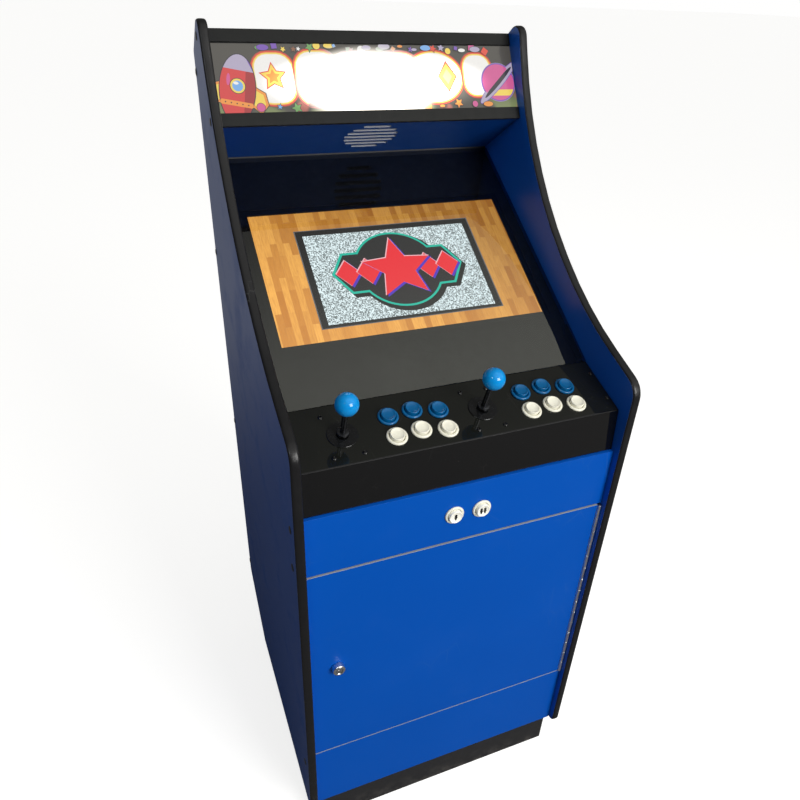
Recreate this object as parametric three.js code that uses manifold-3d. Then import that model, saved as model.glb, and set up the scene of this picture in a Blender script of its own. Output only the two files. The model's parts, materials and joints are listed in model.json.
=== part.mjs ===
// Upright two-player arcade cabinet, built piece by piece as it comes apart on a bench.
// Millimetres, +Z up, front facing -Y, player one's controls on -X.
// Inside this file the cabinet is laid out from the face of its front panels (y = 0) and from the
// bottom edge of its side panels (z = 0). The last lines stand it on the floor, centred on its footprint.

import * as THREE from 'three';
import { mergeVertices } from 'three/addons/utils/BufferGeometryUtils.js';
import Module from 'manifold-3d';

// ---- driving dimensions ----
const INNER_WIDTH = 540;          // between the side panels
const BOARD = 15;                 // laminated board thickness
const PLINTH_HEIGHT = 95;
const PLINTH = { front: 13, rear: 400, overlap: 1 };
const FRONT_EDGE = -15;           // side panels stand this far in front of the front panels
const REAR_EDGE = 557;
const GAP = 0.3;                  // between pieces that touch
const HALF = INNER_WIDTH / 2;
const HALF_BOARD = BOARD / 2;
const BATTEN = { width: 20, railWidth: 12, depth: 15, stopBottom: 20, stopTop: 720 };
const RAIL = { start: 8, panelEnd: 105, glassEnd: 80 };

const NOSE_Z = 868.5;             // corner of the side panel beside the controls
const ARM_CORNER = [152.4, 933.4];  // the hollow front edge is two arcs: low beside the controls,
const ARM_RADIUS = 631.7;
const WING_CORNER = [390.6, 1122.8];  // then steeper beside the screen
const WING_RADIUS = 664.8;
const TOP_CORNER = [471.8, 1356.2];
const REAR_TOP_Z = 1293.5;
const CHAMFER_Z = 118;            // the rear bottom corner is cut off for tilting
const CHAMFER_Y = 423;

// Plastic edge strip: a rounded head outside the board, and a barb pressed into a slot in its edge.
const MOLDING = { depth: 2.4, flat: 3.6, round: 0.9, shoulder: 0.6, barb: 1.6, barbDepth: 9, slot: 2.2 };

const DOOR_BOTTOM = 165.5;
const DOOR_TOP = 622;
const DOOR_LEFT = -268;
const START_PANEL_BOTTOM = 626;
const START_PANEL_TOP = 738;
const LOWER_PANEL_TOP = 163.5;

const HINGE_X = 266.6;            // piano hinge axis, just in front of the door
const HINGE_Y = -1.5;
const KNUCKLE_RADIUS = 3;
const HINGE_LEAF = 1.2;
const HINGE_LEAF_DEPTH = 14;
const HINGE_PIN_RADIUS = 0.9;
const KNUCKLES = 15;

const LOCK = [-221, 398];
const BARREL = { bore: 6.4, body: 9.4, nose: 11, proud: 11, chamfer: 1.4, length: 22 };
const LOCK_NUT = { radius: 13, thickness: 4.7 };
const PLUG = { radius: 6, proud: 10.2, length: 34, keyway: [1.8, 7.2, 4.2] };
const CAM = { length: 42, width: 16, thickness: 2, back: 32 };
const LOCK_HOLE = 9.9;

const PANEL_FRONT = [10, 815];    // top front edge of the control panel
const PANEL_SLOPE = 19.2;
const PANEL_LENGTH = 111;
const SHEET = 2;
const PANEL_SIDE_GAP = 2;
const PANEL_BEND = 3;
const FLANGE_CLEARANCE = 1.5;     // above the start panel
const FLANGE_LEAN = 5;            // how far the front flange leans out towards its foot

const BUTTON_HOLE = 14.3;
const HOUSING = { bore: 12, barrel: 13.9, rim: 16.5, bevel: 1.7, edge: 1.8, height: 3.4, below: 20 };
const PLUNGER = { radius: 11.4, lip: 1.6, shoulder: 7.4, height: 8.2, dish: 6.8, below: 15 };
const STICK_HOLE = 13;
const PLAYERS = [
  { name: 'p1', x: 0 },
  { name: 'p2', x: 230.5 },
];
const STICK = [-189.8, 53];       // player one's stick, across and up the slope
const BUTTONS = [
  ['top_1', -112.6, 70.2],
  ['top_2', -71.8, 74.2],
  ['top_3', -30.9, 66.0],
  ['low_1', -111.5, 31.5],
  ['low_2', -70.7, 35.2],
  ['low_3', -29.5, 27.8],
];
const START_BUTTONS = [['start_1', -24.3], ['start_2', 24.3]];
const START_Z = 682;

const STICK_PIVOT = -14;          // below the face of the control panel
const BALL_HEIGHT = 70;
const BALL_RADIUS = 17.5;
const SHAFT_RADIUS = 4.5;
const SHAFT = { top: 61.6, neck: 6, neckHigh: 11.5, foot: 5.5, below: 23 };
const COLLAR = { radius: 9.5, low: 4.4, high: 9 };
const WASHER = { inner: 8.7, outer: 23.5, thickness: 1.2 };
const GIMBAL = { inner: 7.5, outer: 12, half: 2.5, pin: 1.5, reach: 22 };
const STICK_BASE = { body: 27, plate: [33, 48], plateThickness: 2.4, cavity: 16, below: 24 };

const GLASS_FRONT = [115.8, 851.9];
const GLASS_SLOPE = 32.17;
const GLASS_LENGTH = 508;
const GLASS = 5;
const MONITOR = { width: 505, height: 297, frame: 14, along: 250, below: 10.5 };
const ELECTRONICS = { half: 130, front: -75, rear: 85, depth: 26 };
const CROSS_BAR = { half: 20, thickness: 15 };

const SPEAKER_REAR = [547.5, 1124.9];
const SPEAKER_TILT = 147.9;
const SPEAKER_PANEL = 12;
const SPEAKER_PANEL_LENGTH = 131.3;
const SPEAKER = { basket: 52, cone: 46, throat: 18, magnet: 28, coneDepth: 10, magnetTop: 34, depth: 46 };
const SPEAKER_REAR_CUT = 7.6;     // bevel where the speaker panel meets the back
const GRILLE = { along: 72, radius: 49.5, slots: 7, pitch: 14.2, slot: 8 };

const MARQUEE_FOOT = [428.5, 1197];
const MARQUEE_LEAN = 60.3;
const MARQUEE_HEIGHT = 152;
const MARQUEE_SHEET = 4;
const RETAINER = { height: 20.5, thickness: 3 };

const ROOF_FRONT = [479.4, 1345.8];
const ROOF_SLOPE = -35.6;
const ROOF = { front: 37.9, rear: 93, frontUnder: 40.1, rearUnder: 103.7 };
const BACK = { front: 550.5, rear: 555.5, top: 1272.4, foot: 2.5 };
const VENTS = { rows: 7, pitch: 16, from: 900, columns: [-110, 110], width: 110, height: 6 };
const MAINS_OPENING = { x: [170, 218], z: [190, 217] };

const ROUND = 16;                 // facets on small turned pieces
const THROUGH = 9;                // how far a round cutter stands out on each side of a sheet

const COLOURS = {
  blue: { color: 0x0a4fa8, roughness: 0.4, metalness: 0 },
  black: { color: 0x101114, roughness: 0.35, metalness: 0 },
  gloss: { color: 0x0b0b0d, roughness: 0.12, metalness: 0 },
  steel: { color: 0xb8babd, roughness: 0.3, metalness: 1 },
  dark_steel: { color: 0x2a2b2e, roughness: 0.35, metalness: 1 },
  glass: { color: 0x1a1d20, roughness: 0.05, metalness: 0 },
  button_blue: { color: 0x145fb0, roughness: 0.25, metalness: 0 },
  button_white: { color: 0xf0eee2, roughness: 0.3, metalness: 0 },
  ball: { color: 0x2a8fdc, roughness: 0.15, metalness: 0 },
  art: { color: 0xf6efe0, roughness: 0.3, metalness: 0 },
  board: { color: 0x17171a, roughness: 0.8, metalness: 0 },
};

// ---- joining and cutting ----
const wasm = await Module();
wasm.setup();

function solidOf(geometry) {
  const bare = geometry.clone();
  bare.deleteAttribute('normal');
  bare.deleteAttribute('uv');
  const merged = mergeVertices(bare, 1e-4);
  const corners = merged.index.array;
  const kept = [];
  for (let i = 0; i < corners.length; i += 3) {
    const [a, b, c] = corners.slice(i, i + 3);
    if (a !== b && b !== c && c !== a) kept.push(a, b, c);
  }
  return new wasm.Manifold(new wasm.Mesh({
    numProp: 3,
    vertProperties: Float32Array.from(merged.attributes.position.array),
    triVerts: Uint32Array.from(kept),
  }));
}

function geometryOf(solid) {
  const mesh = solid.getMesh();
  const geometry = new THREE.BufferGeometry();
  geometry.setAttribute('position', new THREE.BufferAttribute(Float32Array.from(mesh.vertProperties), 3));
  geometry.setIndex(Array.from(mesh.triVerts));
  return geometry;
}

function combine(base, { add = [], cut = [] }) {
  let solid = solidOf(base);
  for (const geometry of add) solid = solid.add(solidOf(geometry));
  for (const geometry of cut) solid = solid.subtract(solidOf(geometry));
  return geometryOf(solid);
}

// ---- outlines ----
function filleted(corners, step = 14) {
  // Each corner is [across, up, radius]; the radius is drawn as short straight steps.
  const points = [];
  corners.forEach(([x, y, radius], i) => {
    const here = new THREE.Vector2(x, y);
    const before = corners[(i + corners.length - 1) % corners.length];
    const after = corners[(i + 1) % corners.length];
    const arriving = here.clone().sub(new THREE.Vector2(before[0], before[1])).normalize();
    const leaving = new THREE.Vector2(after[0], after[1]).sub(here).normalize();
    const turn = Math.atan2(arriving.cross(leaving), arriving.dot(leaving));
    const reach = radius * Math.tan(Math.abs(turn) / 2);
    const start = here.clone().addScaledVector(arriving, -reach);
    const side = new THREE.Vector2(-arriving.y, arriving.x).multiplyScalar(Math.sign(turn) * radius);
    const centre = start.clone().add(side);
    const size = radius > 300 ? step / 3 : step;
    const steps = Math.ceil(THREE.MathUtils.radToDeg(Math.abs(turn)) / size);
    for (let k = 0; k <= steps; k++) {
      points.push(start.clone().rotateAround(centre, (turn * k) / steps));
    }
  });
  return points;
}

function inset(points, depth) {
  // Moves a closed clockwise outline inwards by depth, corner by corner.
  return points.map((here, i) => {
    const before = points[(i + points.length - 1) % points.length];
    const after = points[(i + 1) % points.length];
    const arriving = here.clone().sub(before).normalize();
    const leaving = after.clone().sub(here).normalize();
    const bisector = new THREE.Vector2(arriving.y + leaving.y, -(arriving.x + leaving.x)).normalize();
    const spread = bisector.dot(new THREE.Vector2(arriving.y, -arriving.x));
    return here.clone().addScaledVector(bisector, depth / spread);
  });
}

const SIDE_OUTLINE = filleted([
  [FRONT_EDGE, 0, 12],
  [FRONT_EDGE, NOSE_Z, 34],
  [...ARM_CORNER, ARM_RADIUS],
  [...WING_CORNER, WING_RADIUS],
  [...TOP_CORNER, 22],
  [REAR_EDGE, REAR_TOP_Z, 10],
  [REAR_EDGE, CHAMFER_Z, 12],
  [CHAMFER_Y, 0, 12],
]);

// ---- shapes ----
function skin(rings, closed) {
  // A closed surface through rings of equal length, capped at both ends or joined back to the first.
  const count = rings[0].length;
  const index = [];
  const last = closed ? rings.length : rings.length - 1;
  for (let k = 0; k < last; k++) {
    const next = (k + 1) % rings.length;
    for (let i = 0; i < count; i++) {
      const j = (i + 1) % count;
      index.push(k * count + i, next * count + i, next * count + j);
      index.push(k * count + i, next * count + j, k * count + j);
    }
  }
  if (!closed) {
    const flat = rings[0].map((p) => new THREE.Vector2(p.y, p.z));
    for (const [a, b, c] of THREE.ShapeUtils.triangulateShape(flat, [])) {
      const end = (rings.length - 1) * count;
      index.push(a, c, b);
      index.push(end + a, end + b, end + c);
    }
  }
  const geometry = new THREE.BufferGeometry().setFromPoints(rings.flat());
  geometry.setIndex(index);
  if (volumeOf(geometry) < 0) {
    for (let i = 0; i < index.length; i += 3) [index[i], index[i + 1]] = [index[i + 1], index[i]];
    geometry.setIndex(index);
  }
  return geometry;
}

function volumeOf(geometry) {
  const position = geometry.attributes.position;
  const index = geometry.index.array;
  const [a, b, c] = [new THREE.Vector3(), new THREE.Vector3(), new THREE.Vector3()];
  let sum = 0;
  for (let i = 0; i < index.length; i += 3) {
    a.fromBufferAttribute(position, index[i]);
    b.fromBufferAttribute(position, index[i + 1]);
    c.fromBufferAttribute(position, index[i + 2]);
    sum += a.dot(b.cross(c));
  }
  return sum;
}

function ringAt(x, depth) {
  return inset(SIDE_OUTLINE, depth).map((p) => new THREE.Vector3(x, p.x, p.y));
}

function box(low, high) {
  const size = low.map((value, i) => high[i] - value);
  const centre = low.map((value, i) => (high[i] + value) / 2);
  return new THREE.BoxGeometry(...size).translate(...centre);
}

function shapeOf(points) {
  return new THREE.Shape(points.map(([x, y]) => new THREE.Vector2(x, y)));
}

function across(points, width) {
  // A profile drawn in (y, z), carried across the cabinet and centred on it.
  const toSide = new THREE.Matrix4().makeBasis(
    new THREE.Vector3(0, 1, 0),
    new THREE.Vector3(0, 0, 1),
    new THREE.Vector3(1, 0, 0),
  );
  return new THREE.ExtrudeGeometry(shapeOf(points), { depth: width, bevelEnabled: false })
    .translate(0, 0, -width / 2)
    .applyMatrix4(toSide);
}

function plate(points, holes, thickness) {
  // A flat plate whose face lies on z = 0 and whose thickness goes down.
  const shape = shapeOf(points);
  shape.holes = holes;
  const options = { depth: thickness, bevelEnabled: false, curveSegments: ROUND / 2 };
  return new THREE.ExtrudeGeometry(shape, options).translate(0, 0, -thickness);
}

function roundHole(x, y, radius) {
  return new THREE.Path().absarc(x, y, radius, 0, 2 * Math.PI, true);
}

function slotCutter(width, height, steps) {
  // A round-ended bar along X, standing far through any board it is placed on.
  const half = (width - height) / 2;
  const path = new THREE.Path();
  path.absarc(half, 0, height / 2, -Math.PI / 2, Math.PI / 2, false);
  path.absarc(-half, 0, height / 2, Math.PI / 2, 1.5 * Math.PI, false);
  return plate(path.getPoints(steps).map((p) => [p.x, p.y]), [], 3 * BOARD);
}

function rectangle(x0, x1, y0, y1) {
  return [[x0, y0], [x1, y0], [x1, y1], [x0, y1]];
}

function turned(profile, segments = ROUND) {
  // Points are [radius, height]; the piece turns about +Z.
  const points = profile.map(([r, h]) => new THREE.Vector2(r, h));
  return new THREE.LatheGeometry(points, segments).rotateX(Math.PI / 2);
}

function tube(inner, outer, low, high, segments = ROUND) {
  return turned([[inner, low], [outer, low], [outer, high], [inner, high], [inner, low]], segments);
}

function rod(radius, low, high, segments = ROUND) {
  return turned([[0, low], [radius, low], [radius, high], [0, high]], segments);
}

// ---- assembly ----
const cabinet = new THREE.Group();

function place(parent, name, geometry, colour, x = 0, y = 0, z = 0) {
  const mesh = new THREE.Mesh(geometry, new THREE.MeshStandardMaterial(COLOURS[colour]));
  mesh.name = name;
  mesh.position.set(x, y, z);
  parent.add(mesh);
}

function tilted([y, z], degrees, x = 0) {
  // A frame at (x, y, z) whose own +Y climbs at this angle, with +Z standing on the surface.
  const group = new THREE.Group();
  group.position.set(x, y, z);
  group.rotation.x = THREE.MathUtils.degToRad(degrees);
  cabinet.add(group);
  return group;
}

function addSides() {
  const { depth: head, flat, round, shoulder, barb, barbDepth } = MOLDING;
  const slot = [HALF_BOARD - MOLDING.slot / 2, HALF_BOARD + MOLDING.slot / 2];
  const face = head + GAP;
  const deep = barbDepth + 2 * GAP;
  const steps = [
    [0, face], [slot[0], face], [slot[0], deep],
    [slot[1], deep], [slot[1], face], [BOARD, face],
  ];
  const [left, right] = [HALF_BOARD - barb / 2, HALF_BOARD + barb / 2];
  const section = [
    [0, head], [round, shoulder], [flat, 0], [BOARD - flat, 0], [BOARD - round, shoulder], [BOARD, head],
    [right, head], [right, barbDepth], [left, barbDepth], [left, head],
  ];
  for (const [side, sign, outer] of [['left', -1, -HALF - BOARD], ['right', 1, HALF]]) {
    const panel = skin(steps.map(([x, depth]) => ringAt(outer + x, depth)), false);
    const molding = skin(section.map(([x, depth]) => ringAt(outer + x, depth)), true);
    place(cabinet, `side_panel_${side}`, combine(panel, { add: battens(sign) }), 'blue');
    place(cabinet, `t_molding_${side}`, molding, 'black');
  }
}

function battens(sign) {
  // Glued to the inside of a side panel: the door stop, and the rails under the controls and the glass.
  const { width, depth, stopBottom, stopTop } = BATTEN;
  const stop = box([HALF - width, BOARD + GAP, stopBottom], [HALF + 1, BOARD + GAP + depth, stopTop]);
  const underPanel = rail(PANEL_FRONT, PANEL_SLOPE, RAIL.panelEnd, -SHEET - GAP);
  const underGlass = rail(GLASS_FRONT, GLASS_SLOPE, RAIL.glassEnd, -GLASS - GAP);
  return [stop, underPanel, underGlass].map((piece) => (sign > 0 ? piece : mirrored(piece)));
}

function rail([y, z], slope, end, top) {
  return box([HALF - BATTEN.railWidth, RAIL.start, top - BATTEN.depth], [HALF + 1, end, top])
    .rotateX(THREE.MathUtils.degToRad(slope))
    .translate(0, y, z);
}

function mirrored(geometry) {
  // Left and right rails are the same piece turned end for end: flip across, then restore the winding.
  const copy = geometry.clone().scale(-1, 1, 1);
  const index = copy.index.array;
  for (let i = 0; i < index.length; i += 3) [index[i], index[i + 1]] = [index[i + 1], index[i]];
  return copy;
}

function addBase() {
  const { front, rear, overlap } = PLINTH;
  const outer = rectangle(-HALF + GAP, HALF - GAP, front, rear);
  const inner = rectangle(-HALF + BOARD, HALF - BOARD, front + BOARD, rear - BOARD);
  const frame = plate(outer, [new THREE.Path(shapeOf(inner).getPoints())], PLINTH_HEIGHT - GAP)
    .translate(0, 0, -GAP);
  const deck = box([-HALF + GAP, BOARD + GAP, -GAP - overlap], [HALF - GAP, rear, BOARD]);
  place(cabinet, 'plinth', combine(frame, { add: [deck] }), 'black');
}

function addFrontPanels() {
  const front = tilted([0, 0], 90);
  const edge = HALF - GAP;
  const lower = plate(rectangle(-edge, edge, 0, LOWER_PANEL_TOP), [], BOARD);
  const startHoles = START_BUTTONS.map(([, x]) => roundHole(x, START_Z, BUTTON_HOLE));
  const start = plate(rectangle(-edge, edge, START_PANEL_BOTTOM, START_PANEL_TOP), startHoles, BOARD);
  const doorRight = HINGE_X - KNUCKLE_RADIUS - GAP;
  const lockHole = roundHole(...LOCK, LOCK_HOLE);
  const door = plate(rectangle(DOOR_LEFT, doorRight, DOOR_BOTTOM, DOOR_TOP), [lockHole], BOARD);
  place(front, 'lower_front_panel', lower, 'blue');
  place(front, 'start_panel', start, 'blue');
  place(front, 'front_door', door, 'blue');
}

function addHinge() {
  // Both leaves fold into the gap beside the door, and their knuckles share the pin.
  const pitch = (DOOR_TOP - DOOR_BOTTOM) / KNUCKLES;
  const reach = HINGE_LEAF_DEPTH - HINGE_Y;
  for (const [name, sign, first] of [['hinge_leaf_fixed', 1, 0], ['hinge_leaf_door', -1, 1]]) {
    const near = sign * (KNUCKLE_RADIUS - HINGE_LEAF);
    const far = sign * KNUCKLE_RADIUS;
    const [x0, x1] = [Math.min(near, far), Math.max(near, far)];
    const add = [];
    for (let k = first; k < KNUCKLES; k += 2) {
      const low = DOOR_BOTTOM + k * pitch + GAP;
      const high = DOOR_BOTTOM + (k + 1) * pitch - GAP;
      add.push(rod(KNUCKLE_RADIUS, low, high, 8));
      add.push(box([x0, 0, low], [x1, KNUCKLE_RADIUS + 1, high]));
    }
    const cut = [];
    if (first === 0) add.push(rod(HINGE_PIN_RADIUS, DOOR_BOTTOM + 1, DOOR_TOP - 1, 8));
    else cut.push(rod(HINGE_PIN_RADIUS + GAP, DOOR_BOTTOM, DOOR_TOP, 8));
    const leaf = box([x0, KNUCKLE_RADIUS + GAP, DOOR_BOTTOM + GAP], [x1, reach, DOOR_TOP - GAP]);
    place(cabinet, name, combine(leaf, { add, cut }), 'steel', HINGE_X, HINGE_Y, 0);
  }
}

function addLock() {
  const front = tilted([0, 0], 90);
  const { bore, body, nose, proud, chamfer, length } = BARREL;
  const nut = LOCK_NUT.radius;
  const inside = -BOARD - GAP;
  const behindNut = inside - LOCK_NUT.thickness;
  const barrel = turned([
    [bore, -length], [body, -length], [body, behindNut], [nut, behindNut],
    [nut, inside], [body, inside], [body, GAP], [nose, GAP],
    [nose, proud - chamfer], [nose - chamfer, proud], [bore, proud], [bore, -length],
  ]);
  const plug = rod(PLUG.radius, -PLUG.length, PLUG.proud);
  const half = CAM.width / 2;
  const tip = CAM.length - half;
  const camCorners = [[-half, -half, 4], [-half, tip, 6], [half, tip, 6], [half, -half, 4]];
  const camOutline = filleted(camCorners, 30).map((p) => [p.x, p.y]);
  const cam = plate(camOutline, [], CAM.thickness).translate(0, 0, -CAM.back);
  const [slotWidth, slotHeight, slotDepth] = PLUG.keyway;
  const keyway = box(
    [-slotWidth / 2, -slotHeight / 2, PLUG.proud - slotDepth],
    [slotWidth / 2, slotHeight / 2, PLUG.proud + 1],
  );
  place(front, 'lock_barrel', barrel, 'steel', ...LOCK);
  place(front, 'lock_cam', combine(plug, { add: [cam], cut: [keyway] }), 'steel', ...LOCK);
}

function addControlPanel() {
  const panel = tilted(PANEL_FRONT, PANEL_SLOPE);
  const line = foldLine();
  const inner = insideOf(line, SHEET);
  const profile = [...line, ...inner.reverse()].map((p) => [p.x, p.y]);
  const sheet = across(profile, INNER_WIDTH - 2 * PANEL_SIDE_GAP);
  const cut = [];
  for (const player of PLAYERS) {
    for (const [, x, along] of BUTTONS) {
      cut.push(rod(BUTTON_HOLE, -THROUGH, THROUGH).translate(x + player.x, along, 0));
    }
    cut.push(rod(STICK_HOLE, -THROUGH, THROUGH).translate(STICK[0] + player.x, STICK[1], 0));
  }
  place(panel, 'control_panel', combine(sheet, { cut }), 'gloss');
  for (const player of PLAYERS) {
    for (const [name, x, along] of BUTTONS) {
      const colour = name.startsWith('top') ? 'button_blue' : 'button_white';
      addButton(panel, `${player.name}_${name}`, colour, x + player.x, along);
    }
    addStick(panel, player.name, STICK[0] + player.x, STICK[1]);
  }
}

function foldLine() {
  // The sheet's outer face seen from the side: down the slope, round the bend, then down the front flange.
  const slope = THREE.MathUtils.degToRad(PANEL_SLOPE);
  const drop = PANEL_FRONT[1] - START_PANEL_TOP - FLANGE_CLEARANCE;
  const foot = new THREE.Vector2(-FLANGE_LEAN, -drop).rotateAround(new THREE.Vector2(), -slope);
  const reach = PANEL_BEND * Math.tan(Math.acos(-foot.x / foot.length()) / 2);
  const centre = new THREE.Vector2(reach, -PANEL_BEND);
  const turn = Math.PI - Math.acos(foot.x / foot.length());
  const bend = [0, 1, 2, 3, 4].map((k) => new THREE.Vector2(reach, 0).rotateAround(centre, (turn * k) / 4));
  return [new THREE.Vector2(PANEL_LENGTH, 0), ...bend, foot];
}

function insideOf(line, thickness) {
  // An open line moved sideways, towards the underside of the sheet.
  return line.map((here, i) => {
    const before = line[Math.max(i - 1, 0)];
    const after = line[Math.min(i + 1, line.length - 1)];
    const arriving = (i === 0 ? after.clone().sub(here) : here.clone().sub(before)).normalize();
    const leaving = (i === line.length - 1 ? here.clone().sub(before) : after.clone().sub(here)).normalize();
    const side = new THREE.Vector2(-(arriving.y + leaving.y), arriving.x + leaving.x).normalize();
    const spread = side.dot(new THREE.Vector2(-arriving.y, arriving.x));
    return here.clone().addScaledVector(side, thickness / spread);
  });
}

function addButton(panel, name, colour, x, along) {
  const { bore, barrel, rim, bevel, edge, height, below } = HOUSING;
  const housing = turned([
    [bore, -below], [barrel, -below], [barrel, GAP], [rim, GAP], [rim, edge],
    [rim - bevel, height], [bore, height], [bore, -below],
  ]);
  const { radius, lip, shoulder, dish } = PLUNGER;
  const plunger = turned([
    [0, -PLUNGER.below], [radius, -PLUNGER.below], [radius, shoulder],
    [radius - lip, PLUNGER.height], [0, dish],
  ]);
  place(panel, `housing_${name}`, housing, colour, x, along);
  place(panel, `button_${name}`, plunger, colour, x, along);
}

function sideways(geometry) {
  return geometry.rotateY(Math.PI / 2).translate(0, 0, STICK_PIVOT);
}

function lengthways(geometry) {
  return geometry.rotateX(Math.PI / 2).translate(0, 0, STICK_PIVOT);
}

function addStick(panel, player, x, along) {
  place(panel, `stick_base_${player}`, stickBase(), 'dark_steel', x, along);
  place(panel, `stick_gimbal_${player}`, stickGimbal(), 'steel', x, along);
  place(panel, `stick_shaft_${player}`, stickShaft(), 'dark_steel', x, along);
  place(panel, `stick_ball_${player}`, ballTop(SHAFT.top), 'ball', x, along);
  const washer = tube(WASHER.inner, WASHER.outer, GAP, GAP + WASHER.thickness);
  place(panel, `stick_washer_${player}`, washer, 'black', x, along);
}

function stickBase() {
  // A block hung under the panel on a plate, open below, with bearings for the gimbal's trunnions.
  const { body, plate: wing, plateThickness, cavity, below } = STICK_BASE;
  const top = -SHEET - GAP;
  const low = STICK_PIVOT - below;
  return combine(box([-body, -body, low], [body, body, top - 1]), {
    add: [box([-wing[0], -wing[1], top - plateThickness], [wing[0], wing[1], top])],
    cut: [
      rod(cavity, low - 1, top - plateThickness - 1),
      rod(STICK_HOLE - 1, low, 1),
      sideways(rod(GIMBAL.pin + GAP, -body - 3, body + 3, 8)),
    ],
  });
}

function stickGimbal() {
  // A ring that rocks on side trunnions and carries the shaft's cross pin.
  const { inner, outer, half, pin, reach } = GIMBAL;
  return combine(tube(inner, outer, STICK_PIVOT - half, STICK_PIVOT + half), {
    add: [sideways(rod(pin, outer - 1, reach, 8)), sideways(rod(pin, -reach, 1 - outer, 8))],
    cut: [lengthways(rod(pin + GAP, -outer - 8, outer + 8, 8))],
  });
}

function stickShaft() {
  const { top, neck, neckHigh, foot, below } = SHAFT;
  const low = STICK_PIVOT - below;
  const spindle = turned([
    [0, low], [foot, low], [foot, STICK_PIVOT - 9], [SHAFT_RADIUS, STICK_PIVOT - 8],
    [SHAFT_RADIUS, COLLAR.low], [COLLAR.radius, COLLAR.low], [COLLAR.radius, COLLAR.high],
    [neck, neckHigh], [SHAFT_RADIUS, neckHigh], [SHAFT_RADIUS, top], [0, top],
  ]);
  return combine(spindle, { add: [lengthways(rod(GIMBAL.pin, 1 - GIMBAL.outer, GIMBAL.outer - 1, 8))] });
}

function ballTop(shaftTop) {
  // A sphere with a blind hole for the end of the shaft.
  const bore = SHAFT_RADIUS + 0.4;
  const start = Math.asin(bore / BALL_RADIUS);
  const steps = 9;
  const profile = [[0, shaftTop + GAP], [bore, shaftTop + GAP]];
  for (let k = 0; k <= steps; k++) {
    const angle = start + ((Math.PI - start) * k) / steps;
    const radius = k === steps ? 0 : BALL_RADIUS * Math.sin(angle);
    profile.push([radius, BALL_HEIGHT - BALL_RADIUS * Math.cos(angle)]);
  }
  return turned(profile, 20);
}

function addStartButtons() {
  const front = tilted([0, 0], 90);
  for (const [name, x] of START_BUTTONS) addButton(front, name, 'button_white', x, START_Z);
}

function addScreen() {
  const glass = tilted(GLASS_FRONT, GLASS_SLOPE);
  const edge = HALF - GAP;
  place(glass, 'screen_glass', plate(rectangle(-edge, edge, 0, GLASS_LENGTH), [], GLASS), 'glass');
  const { width, height, frame, along, below } = MONITOR;
  const front = plate(rectangle(-width / 2, width / 2, along - height / 2, along + height / 2), [], frame);
  const boxRear = -frame - ELECTRONICS.depth;
  const electronics = box(
    [-ELECTRONICS.half, along + ELECTRONICS.front, boxRear],
    [ELECTRONICS.half, along + ELECTRONICS.rear, 1 - frame],
  );
  const crossBar = box(
    [-edge, along - CROSS_BAR.half, boxRear - CROSS_BAR.thickness + 1],
    [edge, along + CROSS_BAR.half, boxRear + 1],
  );
  const monitor = combine(front, { add: [electronics, crossBar] }).translate(0, 0, -below);
  place(glass, 'monitor', monitor, 'black');
}

function addSpeaker() {
  const panel = tilted(SPEAKER_REAR, SPEAKER_TILT);
  const { along, radius, slots, pitch, slot } = GRILLE;
  const edge = HALF - GAP;
  const [long, thick] = [SPEAKER_PANEL_LENGTH, SPEAKER_PANEL];
  const board = across([[0, 0], [long, 0], [long, -thick], [SPEAKER_REAR_CUT, -thick]], 2 * edge);
  const cut = [];
  for (let k = 0; k < slots; k++) {
    const offset = (k - (slots - 1) / 2) * pitch;
    const width = 2 * Math.sqrt(radius ** 2 - offset ** 2);
    cut.push(slotCutter(width, slot, 4).translate(0, along + offset, thick));
  }
  place(panel, 'speaker_panel', combine(board, { cut }), 'blue');
  place(panel, 'speaker', speakerDriver(), 'dark_steel', 0, along);
}

function speakerDriver() {
  // Rim, cone and magnet in one turned body, with the cone's hollow facing the grille.
  const { basket, cone, throat, magnet, coneDepth, magnetTop, depth } = SPEAKER;
  const rim = -SPEAKER_PANEL - GAP;
  const coneRear = rim - coneDepth;
  return turned([
    [0, -depth], [magnet, -depth], [magnet, -magnetTop], [magnet - 4, -magnetTop],
    [basket, rim - 2.7], [basket, rim], [cone, rim], [cone, rim - 3.7], [throat, coneRear], [0, coneRear],
  ]);
}

function addMarquee() {
  const marquee = tilted(MARQUEE_FOOT, MARQUEE_LEAN);
  const edge = HALF - GAP;
  const behind = -RETAINER.thickness - GAP;
  const sheet = rectangle(-edge, edge, 0.5, MARQUEE_HEIGHT - 1);
  const art = plate(sheet, [], MARQUEE_SHEET).translate(0, 0, behind);
  const strip = () => plate(rectangle(-edge, edge, 0, RETAINER.height), [], RETAINER.thickness);
  place(marquee, 'marquee_panel', art, 'art');
  place(marquee, 'marquee_retainer_bottom', strip(), 'black');
  place(marquee, 'marquee_retainer_top', strip(), 'black', 0, MARQUEE_HEIGHT - RETAINER.height);
}

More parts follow.
